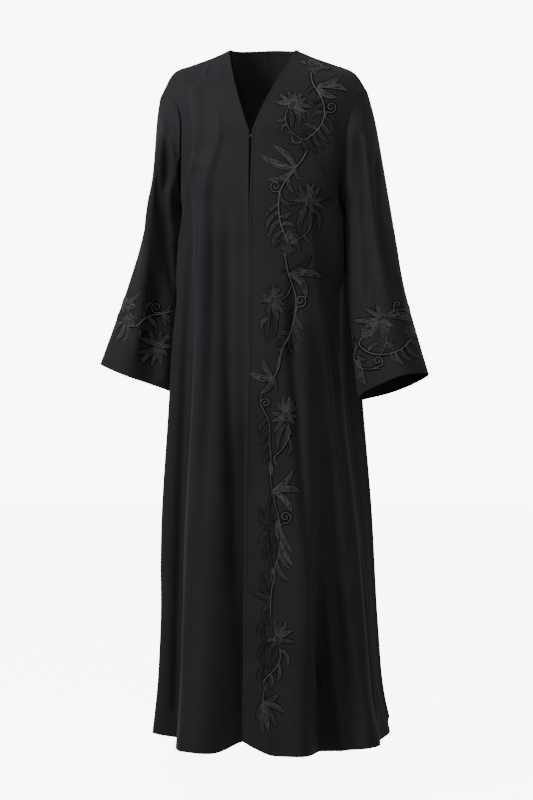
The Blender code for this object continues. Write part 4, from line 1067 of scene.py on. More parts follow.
def crease_offset(points, normals, creases):
    """How far the laid creases raise points of the cloth. Each is (crease, its points in space)."""
    offset = np.zeros(len(points))
    for crease, path in creases:
        reach = CREASE_REACH * max(crease.left, crease.right)
        near = np.all(
            (points > path.min(axis=0) - reach) & (points < path.max(axis=0) + reach), axis=1
        )
        if not near.any():
            continue
        here, normal = points[near], normals[near]
        gap = here[:, None, :] - path[None, :, :]
        nearest = np.argmin((gap**2).sum(axis=2), axis=1)
        row = np.arange(len(here))
        run = unit(np.gradient(path, axis=0))[nearest]
        gap = gap[row, nearest]
        gap -= run * (gap * run).sum(axis=1)[:, None]
        side = (np.cross(run, normal) * gap).sum(axis=1)
        width = np.where(side > 0, crease.left, crease.right)
        distance = np.linalg.norm(gap, axis=1) / width
        share = nearest / (len(path) - 1)
        fade = smoothstep(share / CREASE_FADE_IN)
        if path[-1, 2] >= HEM_Z + CREASE_HEM_ZONE:
            fade = fade * smoothstep((1 - share) / CREASE_FADE_OUT)
        offset[near] += CREASE_DEPTH * crease.rise * fade * np.exp(-(distance**2))
    return offset


def form_tree(parts):
    """A search tree of plain forms. Each part is a surface of u and v, as arrays from 0 to 1."""
    bm = bmesh.new()
    for surface in parts:
        grown = bmesh.ops.create_grid(bm, x_segments=90, y_segments=140, size=0.5)["verts"]
        u = np.array([vert.co.x + 0.5 for vert in grown])
        v = np.array([vert.co.y + 0.5 for vert in grown])
        for vert, place in zip(grown, surface(u, v)):
            vert.co = place
    bmesh.ops.recalc_face_normals(bm, faces=bm.faces)
    tree = BVHTree.FromBMesh(bm)
    bm.free()
    return tree


def body_spot(angle, z):
    """The body's surface at an angle round it and a height."""
    side = "left" if angle >= 0 else "right"
    face = "front" if abs(angle) <= 90 else "back"
    u = abs(angle) / 90.0 if face == "front" else (180.0 - abs(angle)) / 90.0
    levels = (HEM_Z, BODY[0].z, 0.0)
    v = np.interp([z], levels, (1.0, YOKE_SHARE, 0.0))
    return panel_point(side, face, np.array([u]), v)[0]


def body_creases():
    """The body's creases with their paths in space."""
    fronts = [lambda u, v, side=side: panel_point(side, "front", u, v) for side in ("right", "left")]
    chart = PhotoChart(form_tree(fronts))
    laid = []
    for crease in FRONT_CREASES:
        path = smooth_path(crease.path, CREASE_DRAWN_POINTS)
        laid.append((crease, smooth_path(chart.lay(path)[0], BODY_CREASE_POINTS)))
    for crease in HIDDEN_CREASES:
        spots = smooth_path(crease.path, 24)
        places = [body_spot(angle, z) for angle, z in spots]
        laid.append((crease, smooth_path(places, BODY_CREASE_POINTS)))
    return laid


def sleeve_creases(side):
    """A sleeve's creases with their paths in space."""
    chart = PhotoChart(form_tree([lambda u, v: sleeve_point(side, u * 360.0, v)]))
    laid = []
    for crease in SLEEVE_CREASES[side]:
        path = smooth_path(crease.path, CREASE_DRAWN_POINTS)
        laid.append((crease, smooth_path(chart.lay(path)[0], SLEEVE_CREASE_POINTS)))
    for crease in SLEEVE_BACK_CREASES:
        spots = smooth_path(crease.path, 20)
        places = sleeve_point(side, spots[:, 0], spots[:, 1])
        laid.append((crease, smooth_path(places, SLEEVE_CREASE_POINTS)))
    return laid


def add_shell(piece, nodes, columns, rows, place, finish, tube=False):
    """A cloth shell in place of CAD nodes.

    place takes the grid's column and row numbers, and returns points, outward normals and a table
    of distances from the piece's edges, which become attributes of its points.
    """
    settings = bpy.context.scene.abaya_cloth
    bm = bmesh.new()
    bmesh.ops.create_grid(bm, x_segments=columns, y_segments=rows, size=0.5)
    bm.verts.ensure_lookup_table()
    column = np.array([round((vert.co.x + 0.5) * columns) for vert in bm.verts])
    row = np.array([round((vert.co.y + 0.5) * rows) for vert in bm.verts])
    points, outward, edges = place(column, row)
    layers = {key: bm.verts.layers.float.new(key) for key in edges}
    for index, vert in enumerate(bm.verts):
        vert.co = points[index]
        for key, layer in layers.items():
            vert[layer] = edges[key][index]
    uv = bm.loops.layers.uv.new("cloth")
    across = column / columns
    down = row / rows
    for face in bm.faces:
        for loop in face.loops:
            loop[uv].uv = (across[loop.vert.index], down[loop.vert.index])
    bm.normal_update()
    facing = sum(face.normal.dot(Vector(outward[face.verts[0].index])) for face in bm.faces)
    if facing < 0:
        bmesh.ops.reverse_faces(bm, faces=bm.faces)
    if tube:
        bmesh.ops.remove_doubles(bm, verts=bm.verts, dist=1e-6)
    mesh = bpy.data.meshes.new(f"{piece}_cloth")
    bm.to_mesh(mesh)
    bm.free()
    shell = bpy.data.objects.new(mesh.name, mesh)
    bpy.context.scene.collection.objects.link(shell)
    mesh.shade_smooth()
    mesh.materials.append(finish)
    wall = shell.modifiers.new("cloth wall", "SOLIDIFY")
    wall.thickness = settings.wall
    wall.offset = -1.0
    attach(shell, "root")
    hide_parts(*nodes)
    return shell


def edge_roll(distance, roll):
    """How far cloth dips where it turns in at an edge."""
    return -roll.depth * np.exp(-((distance / roll.width) ** 2))


def stretch(surface, u, v, way):
    """Metres of a surface for each unit of u or v."""
    step = 0.01
    if way == "u":
        ends = surface(u + step, v) - surface(u - step, v)
    else:
        ends = surface(u, v + step) - surface(u, v - step)
    return np.maximum(np.linalg.norm(ends, axis=1) / (2 * step), 0.03)


def add_panel(side, face, creases, finish):
    """The shell of a front or a back."""

    def surface(a, b):
        return panel_point(side, face, a, b)

    rows = YOKE_ROWS + SKIRT_ROWS
    other_side = "left" if side == "right" else "right"
    own_creases = [laid for laid in creases if not laid[0].name.startswith(other_side)]

    def place(column, row):
        rough_u = column / PANEL_COLUMNS
        top_stretch = stretch(surface, rough_u, 0 * rough_u + 0.01, "v")
        hem_stretch = stretch(surface, rough_u, 0 * rough_u + 0.99, "v")
        upper = YOKE_SHARE * edge_lines(row, YOKE_ROWS, top_stretch * YOKE_SHARE, None)
        lower_row = np.maximum(row - YOKE_ROWS, 0)
        skirt = 1 - YOKE_SHARE
        lower = YOKE_SHARE + skirt * edge_lines(lower_row, SKIRT_ROWS, None, hem_stretch * skirt)
        v = np.where(row <= YOKE_ROWS, upper, lower)
        centre_stretch = stretch(surface, 0 * v + 0.01, v, "u")
        side_stretch = stretch(surface, 0 * v + 0.99, v, "u")
        u = edge_lines(column, PANEL_COLUMNS, centre_stretch, side_stretch)
        z = surface(u, v)[:, 2]
        centre_gap = front_gap(z) if face == "front" else SEAM_GAP + 0 * z
        by_hole = u**8 * (v <= YOKE_SHARE + 1e-6)
        side_gap = SEAM_GAP * (v > YOKE_SHARE - 1e-6)
        new_u, new_v = inset(surface, u, v, centre_gap / 2, side_gap / 2, SEAM_GAP / 2)
        across = armhole_frame(side, face, np.clip(v / YOKE_SHARE, 0.0, 1.0))[1]
        shift = across * (by_hole * SEAM_GAP / 2)[:, None]
        points = surface(new_u, new_v) - unmirrored(side, shift)
        normals = panel_normal(side, face, u, v)
        edges = {
            "from_centre": u * centre_stretch,
            "from_side": (1 - u) * side_stretch,
            "from_top": v * top_stretch,
            "from_hem": (1 - v) * hem_stretch,
        }
        offset = crease_offset(points, normals, own_creases)
        offset += edge_roll(edges["from_side"], SEAM_ROLL)
        offset += edge_roll(edges["from_top"], SHOULDER_ROLL)
        offset += edge_roll(edges["from_hem"], HEM_ROLL)
        centre_roll = HEM_ROLL if face == "front" else CENTRE_BACK_ROLL
        offset += edge_roll(edges["from_centre"], centre_roll)
        if face == "front":
            edge_line = edges["from_centre"] - PROUD_EDGE_PLACE
            offset += PROUD_EDGE_RISE * np.exp(-((edge_line / PROUD_EDGE_WIDTH) ** 2))
        return points + normals * offset[:, None], normals, edges

    piece = f"{face}_{side}"
    nodes = (piece,) if face == "front" else (f"back_yoke_{side}", f"back_skirt_{side}")
    return add_shell(piece, nodes, PANEL_COLUMNS, rows, place, finish)


def add_sleeve(side, finish):
    """The shell of a sleeve."""
    creases = sleeve_creases(side)

    def surface(a, b):
        return sleeve_point(side, a * 360.0, b)

    def place(column, row):
        u = column / SLEEVE_COLUMNS
        top_stretch = stretch(surface, u, 0 * u + 0.01, "v")
        cuff_stretch = stretch(surface, u, 0 * u + 0.99, "v")
        v = edge_lines(row, SLEEVE_ROWS, top_stretch, cuff_stretch)
        normal = surface_normal(surface, u, np.clip(v, 0.01, 0.99))
        outward = normal if side == "left" else -normal
        share = np.where(u <= 0.5, u * 2, (1 - u) * 2)
        front = armhole_frame(side, "front", share)
        back = armhole_frame(side, "back", share)
        in_front = (u <= 0.5)[:, None]
        hole, across = (unmirrored(side, np.where(in_front, front[i], back[i])) for i in (0, 1))
        by_hole = (1 - smoothstep(v / 0.05))[:, None]
        outward = unit(outward * (1 - by_hole) + hole * by_hole)
        points = surface(u, v) + across * by_hole * SEAM_GAP / 2
        edges = {
            "from_top": v * top_stretch,
            "from_hem": (1 - v) * cuff_stretch,
            "from_side": np.abs(u - 0.5) * stretch(surface, u, v, "u"),
        }
        offset = crease_offset(points, outward, creases)
        offset += edge_roll(edges["from_top"], SEAM_ROLL)
        offset += edge_roll(edges["from_hem"], HEM_ROLL)
        return points + outward * offset[:, None], outward, edges

    piece = f"sleeve_{side}"
    return add_shell(piece, (piece,), SLEEVE_COLUMNS, SLEEVE_ROWS, place, finish, tube=True)


class Embroidery:
    """Thread work that is laid on the cloth from drawings in the photograph's frame."""

    def __init__(self, name, charts):
        self.name = name
        self.charts = charts
        self.bm = bmesh.new()
        names = ("along", "across", "tone", "cord", "strand")
        self.layers = {key: self.bm.verts.layers.float.new(key) for key in names}
        self.count = 0

    def painted_shadow_strip(self, path, half_widths):
        """A flat dark strip under a leaf or cord, a sheet of painted shadow where the raised thread's shade
        falls on the cloth.
        """
        half_widths = half_widths + SHADOW_STRIP_MARGIN
        # The strip takes tone 0, the dark thread colour, as painted shadow.
        self.ribbon(path, half_widths, SHADOW_STRIP_RISE, 0.0, 1.0, across=2, lift=SHADOW_STRIP_LIFT, sunk=SHADOW_STRIP_SUNK)

    def ribbon(
        self, path, half_widths, rise, tone, cord, across=4, lift=0.0, groove=0.0, sunk=THREAD_SUNK
    ):
        """A domed strip along a path, with its edges sunk into the cloth."""
        self.count += 1
        path = np.asarray(path, float)
        steps = len(path) - 1
        run = unit(np.gradient(path, axis=0))
        sideways = np.stack([-run[:, 1], run[:, 0]], 1)
        spacing = np.linalg.norm(np.diff(path, axis=0), axis=1)
        travelled = np.concatenate([[0.0], np.cumsum(spacing)]) / PIXELS_PER_METRE
        for chart in self.charts:
            grown = bmesh.ops.create_grid(self.bm, x_segments=steps, y_segments=across, size=0.5)["verts"]
            row = np.array([round((vert.co.x + 0.5) * steps) for vert in grown])
            share = np.array([vert.co.y * 2 for vert in grown])
            drawn = path[row] + sideways[row] * (half_widths[row] * share)[:, None]
            place, normal = chart.lay(drawn)
            dome = np.sqrt(np.maximum(1 - share**2, 0))
            height = dome * (1 - groove * np.exp(-((share / 0.16) ** 2)))
            taper = np.clip(half_widths[row] / max(half_widths.max(), 1e-6) * 1.6, 0.25, 1)
            place = place + normal * (lift + rise * height * taper - sunk * (dome == 0))[:, None]
            values = {
                "along": travelled[row],
                "across": share,
                "tone": np.full(len(row), tone),
                "cord": np.full(len(row), cord),
                "strand": np.full(len(row), self.count * 0.37),
            }
            for index, vert in enumerate(grown):
                vert.co = place[index]
                for key, layer in self.layers.items():
                    vert[layer] = values[key][index]

    def cord(self, path, width, tone, lift=0.0):
        """A laid cord of one width."""
        length = np.linalg.norm(np.diff(path, axis=0), axis=1).sum()
        path = smooth_path(path, max(5, int(length / 1.3)))
        half = np.full(len(path), width / 2)
        half[[0, -1]] *= 0.5
        # Painted shadow round the cord
        self.painted_shadow_strip(path, half)
        rise = THREAD_RISE * (0.55 + 0.45 * width)
        self.ribbon(path, half, rise, tone, 1.0, across=4, lift=lift)

    def leaf(self, base, tip, width, bend, tone, blunt=False, rib=True):
        """A padded leaf or petal with corded edges."""
        base, tip = np.array(base, float), np.array(tip, float)
        way = tip - base
        bow = np.array([-way[1], way[0]]) * bend
        t = np.linspace(0, 1, LEAF_STEPS + 1)[:, None]
        path = base + way * t + bow * (4 * t * (1 - t)) * 0.6 - bow * 0.35 * t**3
        t = t[:, 0]
        if blunt:
            shape = np.sqrt(np.clip(np.sin(np.pi * (0.06 + 0.90 * t)), 0, 1))
        else:
            shape = LEAF_FULLNESS * (t + 0.02) ** LEAF_BASE_POWER * (1.0 - t) ** LEAF_TIP_POWER
        half = width / 2 * np.clip(shape, 0.05, 1.0)
        # Painted shadow round the leaf
        self.painted_shadow_strip(path, half)
        self.ribbon(path, half, THREAD_RISE, tone, 0.0, across=6, groove=LEAF_GROOVE)
        run = unit(np.gradient(path, axis=0))
        sideways = np.stack([-run[:, 1], run[:, 0]], 1)
        edge_tone = tone * 0.85 + 0.05
        for turn in (-1, 1):
            edge = path + sideways * (half * turn * 0.94)[:, None]
            edge_half = np.full(len(edge), OUTLINE_HALF_WIDTH)
            edge_half[[0, -1]] *= 0.6
            self.ribbon(edge, edge_half, THREAD_RISE * 0.8, edge_tone, 1.0, across=3, lift=THREAD_RISE * 0.35)
        if rib:
            end = path[:-3]
            rib_half = np.linspace(OUTLINE_HALF_WIDTH, OUTLINE_HALF_WIDTH * 0.5, len(end))
            self.ribbon(end, rib_half, THREAD_RISE * 0.6, edge_tone, 1.0, across=3, lift=THREAD_RISE * 0.55)

    def flower(self, flower):
        """Narrow petals round an oval heart."""
        turn = math.radians(flower.tilt)
        long_way = np.array([math.cos(turn), math.sin(turn)])
        wide_way = np.array([-long_way[1], long_way[0]])
        heart = np.array([flower.x, flower.y])
        for number, petal in enumerate(flower.petals):
            way = np.array(petal) - heart
            reach = np.linalg.norm(way)
            way /= reach
            rim = 1 / math.hypot(way @ long_way / (flower.long / 2), way @ wide_way / (flower.wide / 2))
            base = heart + way * rim * 0.8
            bend = 0.10 * math.sin(number * 2.4 + flower.x)
            width = 3.4 + 0.10 * reach
            self.leaf(base, petal, width, bend, flower.tone * (0.82 + 0.18 * math.cos(number * 1.7)))
        t = np.linspace(-1, 1, 9)
        spine = heart + long_way * (t * flower.long / 2)[:, None]
        half = flower.wide / 2 * np.sqrt(np.maximum(1 - t**2, 0.02))
        self.ribbon(spine, half, THREAD_RISE * 1.3, flower.tone * 0.35, 0.0, across=8, lift=THREAD_RISE * 0.3)
        angles = np.radians(np.linspace(0, 360, 19))
        ring = (
            heart
            + long_way * (np.cos(angles) * flower.long / 2)[:, None]
            + wide_way * (np.sin(angles) * flower.wide / 2)[:, None]
        )
        ring_half = np.full(len(ring), OUTLINE_HALF_WIDTH)
        self.ribbon(ring, ring_half, THREAD_RISE, flower.tone, 1.0, across=3, lift=THREAD_RISE * 0.6)
        for share in (-0.45, 0.0, 0.45):
            middle = heart + wide_way * share * flower.wide / 2
            reach = long_way * flower.long * 0.30 * (1 - share**2)
            strand = smooth_path([middle - reach, middle + reach], 6)
            strand_half = np.full(len(strand), OUTLINE_HALF_WIDTH * 0.8)
            lift = THREAD_RISE * 1.3
            self.ribbon(strand, strand_half, THREAD_RISE * 0.8, flower.tone * 0.8, 1.0, across=3, lift=lift)

    def blossom(self, blossom):
        """Five round petals and a knot."""
        heart = np.array([blossom.x, blossom.y])
        for number in range(5):
            turn = math.radians(blossom.turn + 72 * number)
            way = np.array([math.cos(turn), math.sin(turn)])
            reach = blossom.radius * (1.0 + 0.10 * math.sin(number * 2.1 + blossom.x))
            tone = blossom.tone * (0.85 + 0.15 * math.cos(number * 1.9))
            self.leaf(heart + way * 1.0, heart + way * reach, blossom.radius * 0.78, 0.04, tone, True, False)
        t = np.linspace(-1, 1, 7)
        spine = heart + np.array([1.0, 0.0]) * (t * 1.7)[:, None]
        half = 1.7 * np.sqrt(np.maximum(1 - t**2, 0.03))
        tone = min(1.0, blossom.tone + 0.2)
        self.ribbon(spine, half, THREAD_RISE * 1.6, tone, 0.0, across=6, lift=THREAD_RISE * 0.5)

    def curl(self, curl):
        """A tendril that winds in on itself."""
        turns = np.linspace(0, 1, 16)
        angle = np.radians(curl.start) + turns * curl.turns * 2 * math.pi
        radius = 1.15 * curl.radius * (1 - 0.80 * turns**0.8)
        winding = np.stack([curl.x + radius * np.cos(angle), curl.y + radius * np.sin(angle)], 1)
        self.cord(np.concatenate([[(curl.root_x, curl.root_y)], winding]), 1.15, 1.0)

    def draw(self, stems, curls, blossoms, flowers, leaves):
        """Lays a whole drawing, with the leaves under the flowers and the stems on top."""
        for leaf in leaves:
            self.leaf((leaf.base_x, leaf.base_y), (leaf.tip_x, leaf.tip_y), leaf.width, leaf.bend, leaf.tone)
        for stem in stems:
            self.cord(stem.path, stem.width, stem.tone, lift=THREAD_RISE * 0.4)
        for curl in curls:
            self.curl(curl)
        for flower in flowers:
            self.flower(flower)
        for blossom in blossoms:
            self.blossom(blossom)

    def finish(self, finish):
        """Turns the work into an object that rides on the cloak."""
        mesh = bpy.data.meshes.new(self.name)
        self.bm.normal_update()
        self.bm.to_mesh(mesh)
        self.bm.free()
        mesh.shade_smooth()
        mesh.materials.append(finish)
        piece = bpy.data.objects.new(self.name, mesh)
        bpy.context.scene.collection.objects.link(piece)
        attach(piece, "root")
        return piece


def cloth_tree(name):
    """A search tree of a shell's outer face."""
    bm = bmesh.new()
    bm.from_mesh(bpy.data.objects[name].data)
    tree = BVHTree.FromBMesh(bm)
    bm.free()
    return tree


class Flow:
    """A value or colour on its way through a material's nodes, for use in ordinary sums."""

    def __init__(self, maker, socket):
        self.maker = maker
        self.socket = socket

    def maths(self, operation, *values, swap=False):
        terms = (*values, self) if swap else (self, *values)
        return self.maker.node("ShaderNodeMath", {"operation": operation}, dict(enumerate(terms)))

    def __add__(self, other):
        return self.maths("ADD", other)

    def __radd__(self, other):
        return self.maths("ADD", other)

    def __sub__(self, other):
        return self.maths("SUBTRACT", other)

    def __rsub__(self, other):
        return self.maths("SUBTRACT", other, swap=True)

    def __mul__(self, other):
        return self.maths("MULTIPLY", other)

    def __rmul__(self, other):
        return self.maths("MULTIPLY", other)

    def __truediv__(self, other):
        return self.maths("DIVIDE", other)

    def __pow__(self, other):
        return self.maths("POWER", other)

    def size(self):
        return self.maths("ABSOLUTE")

    def step(self, low, high):
        """0 below low, 1 above high, smooth between."""
        return self.maker.node(
            "ShaderNodeMapRange",
            {"interpolation_type": "SMOOTHSTEP"},
            {"Value": self, "From Min": low, "From Max": high},
        )


class Finish:
    """A Principled material that is built up from nodes."""

    def __init__(self, name, **values):
        self.material = bpy.data.materials.new(name)
        self.material.use_nodes = True
        self.tree = self.material.node_tree
        self.shader = self.tree.nodes["Principled BSDF"]
        for key, value in values.items():
            self.shader.inputs[key.replace("_", " ")].default_value = value

    def node(self, kind, settings=None, inputs=None, output=0):
        """Adds a node: its settings first, then the values or links of its sockets."""
        node = self.tree.nodes.new(kind)
        for key, value in (settings or {}).items():
            setattr(node, key, value)
        for key, value in (inputs or {}).items():
            self.feed(node.inputs[key], value)
        return Flow(self, node.outputs[output])

    def feed(self, socket, value):
        """Links a flow to a socket, or sets its value."""
        if isinstance(value, Flow):
            self.tree.links.new(value.socket, socket)
        else:
            socket.default_value = value

    def set(self, name, value):
        self.feed(self.shader.inputs[name], value)

    def attribute(self, name):
        """A float attribute of the piece's points."""
        return self.node("ShaderNodeAttribute", {"attribute_name": name}, output="Fac")

    def place(self):
        """Object coordinates."""
        return self.node("ShaderNodeTexCoord", output="Object")

    def noise(self, vector, scale, detail=2.0, roughness=0.5):
        return self.node(
            "ShaderNodeTexNoise",
            {},
            {"Vector": vector, "Scale": scale, "Detail": detail, "Roughness": roughness},
        )

    def blend(self, share, low, high):
        """One colour eased into another."""
        return self.node(
            "ShaderNodeMix", {"data_type": "RGBA"}, {0: share, 6: low, 7: high}, output=2
        )

    def bump(self, height, distance, strength, normal=None):
        inputs = {"Height": height, "Distance": distance, "Strength": strength}
        if normal is not None:
            inputs["Normal"] = normal
        return self.node("ShaderNodeBump", {}, inputs)


def crepe_finish(name, lines):
    """Black crepe: a fine pebbled weave, faint cloudiness, and stitch lines with painted shade in their
    grooves.

    lines are (attribute, distance in metres, strength of the painted shade) of stitching along the piece's
    edges.
    """
    settings = bpy.context.scene.abaya_cloth
    finish = Finish(
        name,
        Sheen_Weight=settings.sheen,
        Sheen_Roughness=0.55,
        Sheen_Tint=(0.86, 0.82, 1.0, 1.0),
        Specular_IOR_Level=settings.gloss,
    )
    place = finish.place()
    cloud = finish.noise(place, CLOUD_SCALE, 3.0).step(0.35, 0.65)
    pebble = finish.noise(place, PEBBLE_SCALE, 2.0, 0.6)
    crinkle = finish.noise(place, CRINKLE_SCALE, 3.0, 0.6)
    base = tuple(settings.colour)
    lift = tuple(channel * 1.22 for channel in base[:3]) + (1.0,)
    # Painted shade: the colour that the stitch grooves darken towards.
    shade = tuple(channel * 0.30 for channel in base[:3]) + (1.0,)
    colour = finish.blend(cloud * 0.7 + pebble * 0.3, base, lift)
    groove = None
    for attribute, distance, groove_shade in lines:
        near = 1.0 - (finish.attribute(attribute) - distance).size().step(0.0002, 0.0011)
        near = near * groove_shade
        groove = near if groove is None else groove.maths("MAXIMUM", near)
    if groove is not None:
        # Painted shade: each stitch line's colour darkens along its groove, over the groove's bump.
        colour = finish.blend(groove, colour, shade)
    finish.set("Base Color", colour)
    finish.set("Roughness", settings.roughness + crinkle * 0.08)
    height = pebble * 0.55 + crinkle * 0.45
    normal = finish.bump(height, GRAIN_DEPTH, 0.30)
    if groove is not None:
        normal = finish.bump(1.0 - groove, GROOVE_DEPTH, 0.8, normal)
    finish.set("Normal", normal)
    return finish.material


def thread_finish(name):
    """Silky thread in black and greys: pale strokes along the leaves, and twisted cords."""
    settings = bpy.context.scene.abaya_thread
    finish = Finish(name, Roughness=settings.roughness, Specular_IOR_Level=THREAD_GLOSS)
    along, across = finish.attribute("along"), finish.attribute("across")
    tone, cord = finish.attribute("tone"), finish.attribute("cord")
    strand = finish.attribute("strand")
    stroke_place = finish.node(
        "ShaderNodeCombineXYZ", {}, {"X": along * 110.0, "Y": across * 2.3 + strand * 9.0, "Z": strand}
    )
    stroke = finish.noise(stroke_place, 1.0, 2.0, 0.7).step(0.42, 0.58)
    slant = across.size() * 1.4 + along / STITCH_PITCH
    fine = (slant * (2 * math.pi)).maths("SINE") * 0.5 + 0.5
    twist = ((along / TWIST_PITCH + across * 0.5) * (2 * math.pi)).maths("SINE") * 0.5 + 0.5
    # Painted shade: the filling darkens towards its edges, where the padded thread sinks into the cloth
    # beside its outlines.
    inner = 1.0 - across.size().step(0.55, 0.90)
    filled = (0.005 + stroke * 0.36 + fine * 0.05) * (0.10 + inner * 0.90)
    corded = 0.08 + twist * 0.88
    share = tone * (filled * (1.0 - cord) + corded * cord)
    finish.set("Base Color", finish.blend(share, tuple(settings.dark), tuple(settings.pale)))
    ridges = fine * (1.0 - cord) + twist * cord
    finish.set("Normal", finish.bump(ridges, THREAD_BUMP, 0.7))
    return finish.material


class AbayaThreadSettings(bpy.types.PropertyGroup):
    """Colours and finish of the embroidery thread."""

    # The dark thread colour also paints the shadow strips round the thread work.
    dark: bpy.props.FloatVectorProperty(
        name="Dark thread", description="Colour of the darkest thread", default=(0.0015, 0.0015, 0.0017, 1.0),
        size=4, min=0.0, max=1.0, subtype="COLOR",
    )
    pale: bpy.props.FloatVectorProperty(
        name="Pale thread", description="Colour of the palest thread", default=(0.170, 0.170, 0.173, 1.0),
        size=4, min=0.0, max=1.0, subtype="COLOR",
    )
    roughness: bpy.props.FloatProperty(
        name="Roughness", description="How far the thread scatters light", default=0.38, min=0.0, max=1.0,
        subtype="FACTOR",
    )


class AbayaClothSettings(bpy.types.PropertyGroup):
    """Sizes and colours of the crepe."""

    wall: bpy.props.FloatProperty(
        name="Wall", description="Thickness of the cloth", default=0.0011, min=0.0003, max=0.004,
        precision=5, subtype="DISTANCE", unit="LENGTH",
    )
    colour: bpy.props.FloatVectorProperty(
        name="Colour", description="Base colour of the crepe", default=(0.0160, 0.0156, 0.0179, 1.0),
        size=4, min=0.0, max=1.0, subtype="COLOR",
    )
    sheen: bpy.props.FloatProperty(
        name="Sheen", description="Soft light along the folds", default=0.05, min=0.0, max=1.0,
        subtype="FACTOR",
    )
    gloss: bpy.props.FloatProperty(
        name="Gloss", description="Strength of the cloth's reflections", default=0.10, min=0.0, max=1.0,
        subtype="FACTOR",
    )
    roughness: bpy.props.FloatProperty(
        name="Roughness", description="How far the cloth scatters light", default=0.66, min=0.0, max=1.0,
        subtype="FACTOR",
    )


class AbayaStageSettings(bpy.types.PropertyGroup):
    """Sizes and strengths of the stage."""

    floor_drop: bpy.props.FloatProperty(
        name="Floor drop", description="Height of the hem above the floor", default=0.10, min=0.0,
        subtype="DISTANCE", unit="LENGTH",
    )
    key_power: bpy.props.FloatProperty(
        name="Key light", description="Power of the large light on the left", default=115.0, min=0.0,
        subtype="POWER", unit="POWER",
    )
    front_power: bpy.props.FloatProperty(
        name="Front light", description="Power of the light in front", default=36.0, min=0.0,
        subtype="POWER", unit="POWER",
    )
    sky: bpy.props.FloatProperty(
        name="Sky", description="Strength of the soft light from all round", default=0.35, min=0.0,
        subtype="FACTOR",
    )
    glow: bpy.props.FloatProperty(
        name="Glow", description="Brightness of the floor and the backdrop", default=9.0, min=0.0,
        subtype="FACTOR",
    )


class ABAYA_OT_add_body(bpy.types.Operator):
    """Adds the fronts and backs of the cloak"""

    bl_idname = "abaya.add_body"
    bl_label = "Fronts and backs"

    def execute(self, context):
        creases = body_creases()
        right = crepe_finish("front_crepe", ())
        # The left front's stitch line, the centre back seam and a line below the back's top edge get painted
        # shade in their grooves.
        left = crepe_finish("stitched_front_crepe", (("from_centre", 0.0055, 0.75),))
        back = crepe_finish("back_crepe", (("from_centre", 0.0, 0.9), ("from_top", 0.010, 0.55)))
        add_panel("right", "front", creases, right)
        add_panel("left", "front", creases, left)
        add_panel("right", "back", creases, back)
        add_panel("left", "back", creases, back)
        return {"FINISHED"}


class ABAYA_OT_add_sleeves(bpy.types.Operator):
    """Adds the two wide sleeves"""

    bl_idname = "abaya.add_sleeves"
    bl_label = "Sleeves"

    def execute(self, context):
        finish = crepe_finish("sleeve_crepe", ())
        for side in ("right", "left"):
            add_sleeve(side, finish)
        return {"FINISHED"}


class ABAYA_OT_finish_hooks(bpy.types.Operator):
    """Lacquers the hooks behind the opening"""

    bl_idname = "abaya.finish_hooks"
    bl_label = "Hooks"

    def execute(self, context):
        finish = Finish("hook_lacquer", Roughness=0.32, Specular_IOR_Level=0.5, Coat_Weight=0.3)
        wear = finish.noise(finish.place(), 900.0, 3.0, 0.6).step(0.62, 0.74)
        finish.set("Base Color", finish.blend(wear, (0.010, 0.010, 0.010, 1.0), (0.055, 0.055, 0.055, 1.0)))
        finish.set("Metallic", wear * 0.8)
        for name in ("hook_upper", "hook_lower"):
            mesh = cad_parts[name].data
            mesh.materials.clear()
            mesh.materials.append(finish.material)
        return {"FINISHED"}


class ABAYA_OT_add_vine(bpy.types.Operator):
    """Embroiders the vine down the left front"""

    bl_idname = "abaya.add_vine"
    bl_label = "Front vine"

    def execute(self, context):
        vine = Embroidery("front_vine", [PhotoChart(cloth_tree("front_left_cloth"))])
        vine.draw(VINE_STEMS, VINE_CURLS, VINE_BLOSSOMS, VINE_FLOWERS, VINE_LEAVES)
        vine.finish(thread_finish("vine_thread"))
        return {"FINISHED"}


class ABAYA_OT_add_cuff_embroidery(bpy.types.Operator):
    """Embroiders both sleeves above their cuffs, on the front and on the back"""

    bl_idname = "abaya.add_cuff_embroidery"
    bl_label = "Cuff embroidery"

    def execute(self, context):
        finish = thread_finish("cuff_thread")
        for side in ("right", "left"):
            tree = cloth_tree(f"sleeve_{side}_cloth")
            middle = SLEEVES[side][4].mid_y
            work = Embroidery(f"cuff_embroidery_{side}", [PhotoChart(tree), PhotoChart(tree, middle)])
            work.draw(
                CUFF_STEMS[side], CUFF_CURLS[side], CUFF_BLOSSOMS[side], CUFF_FLOWERS[side], CUFF_LEAVES[side]
            )
            work.finish(finish)
        return {"FINISHED"}


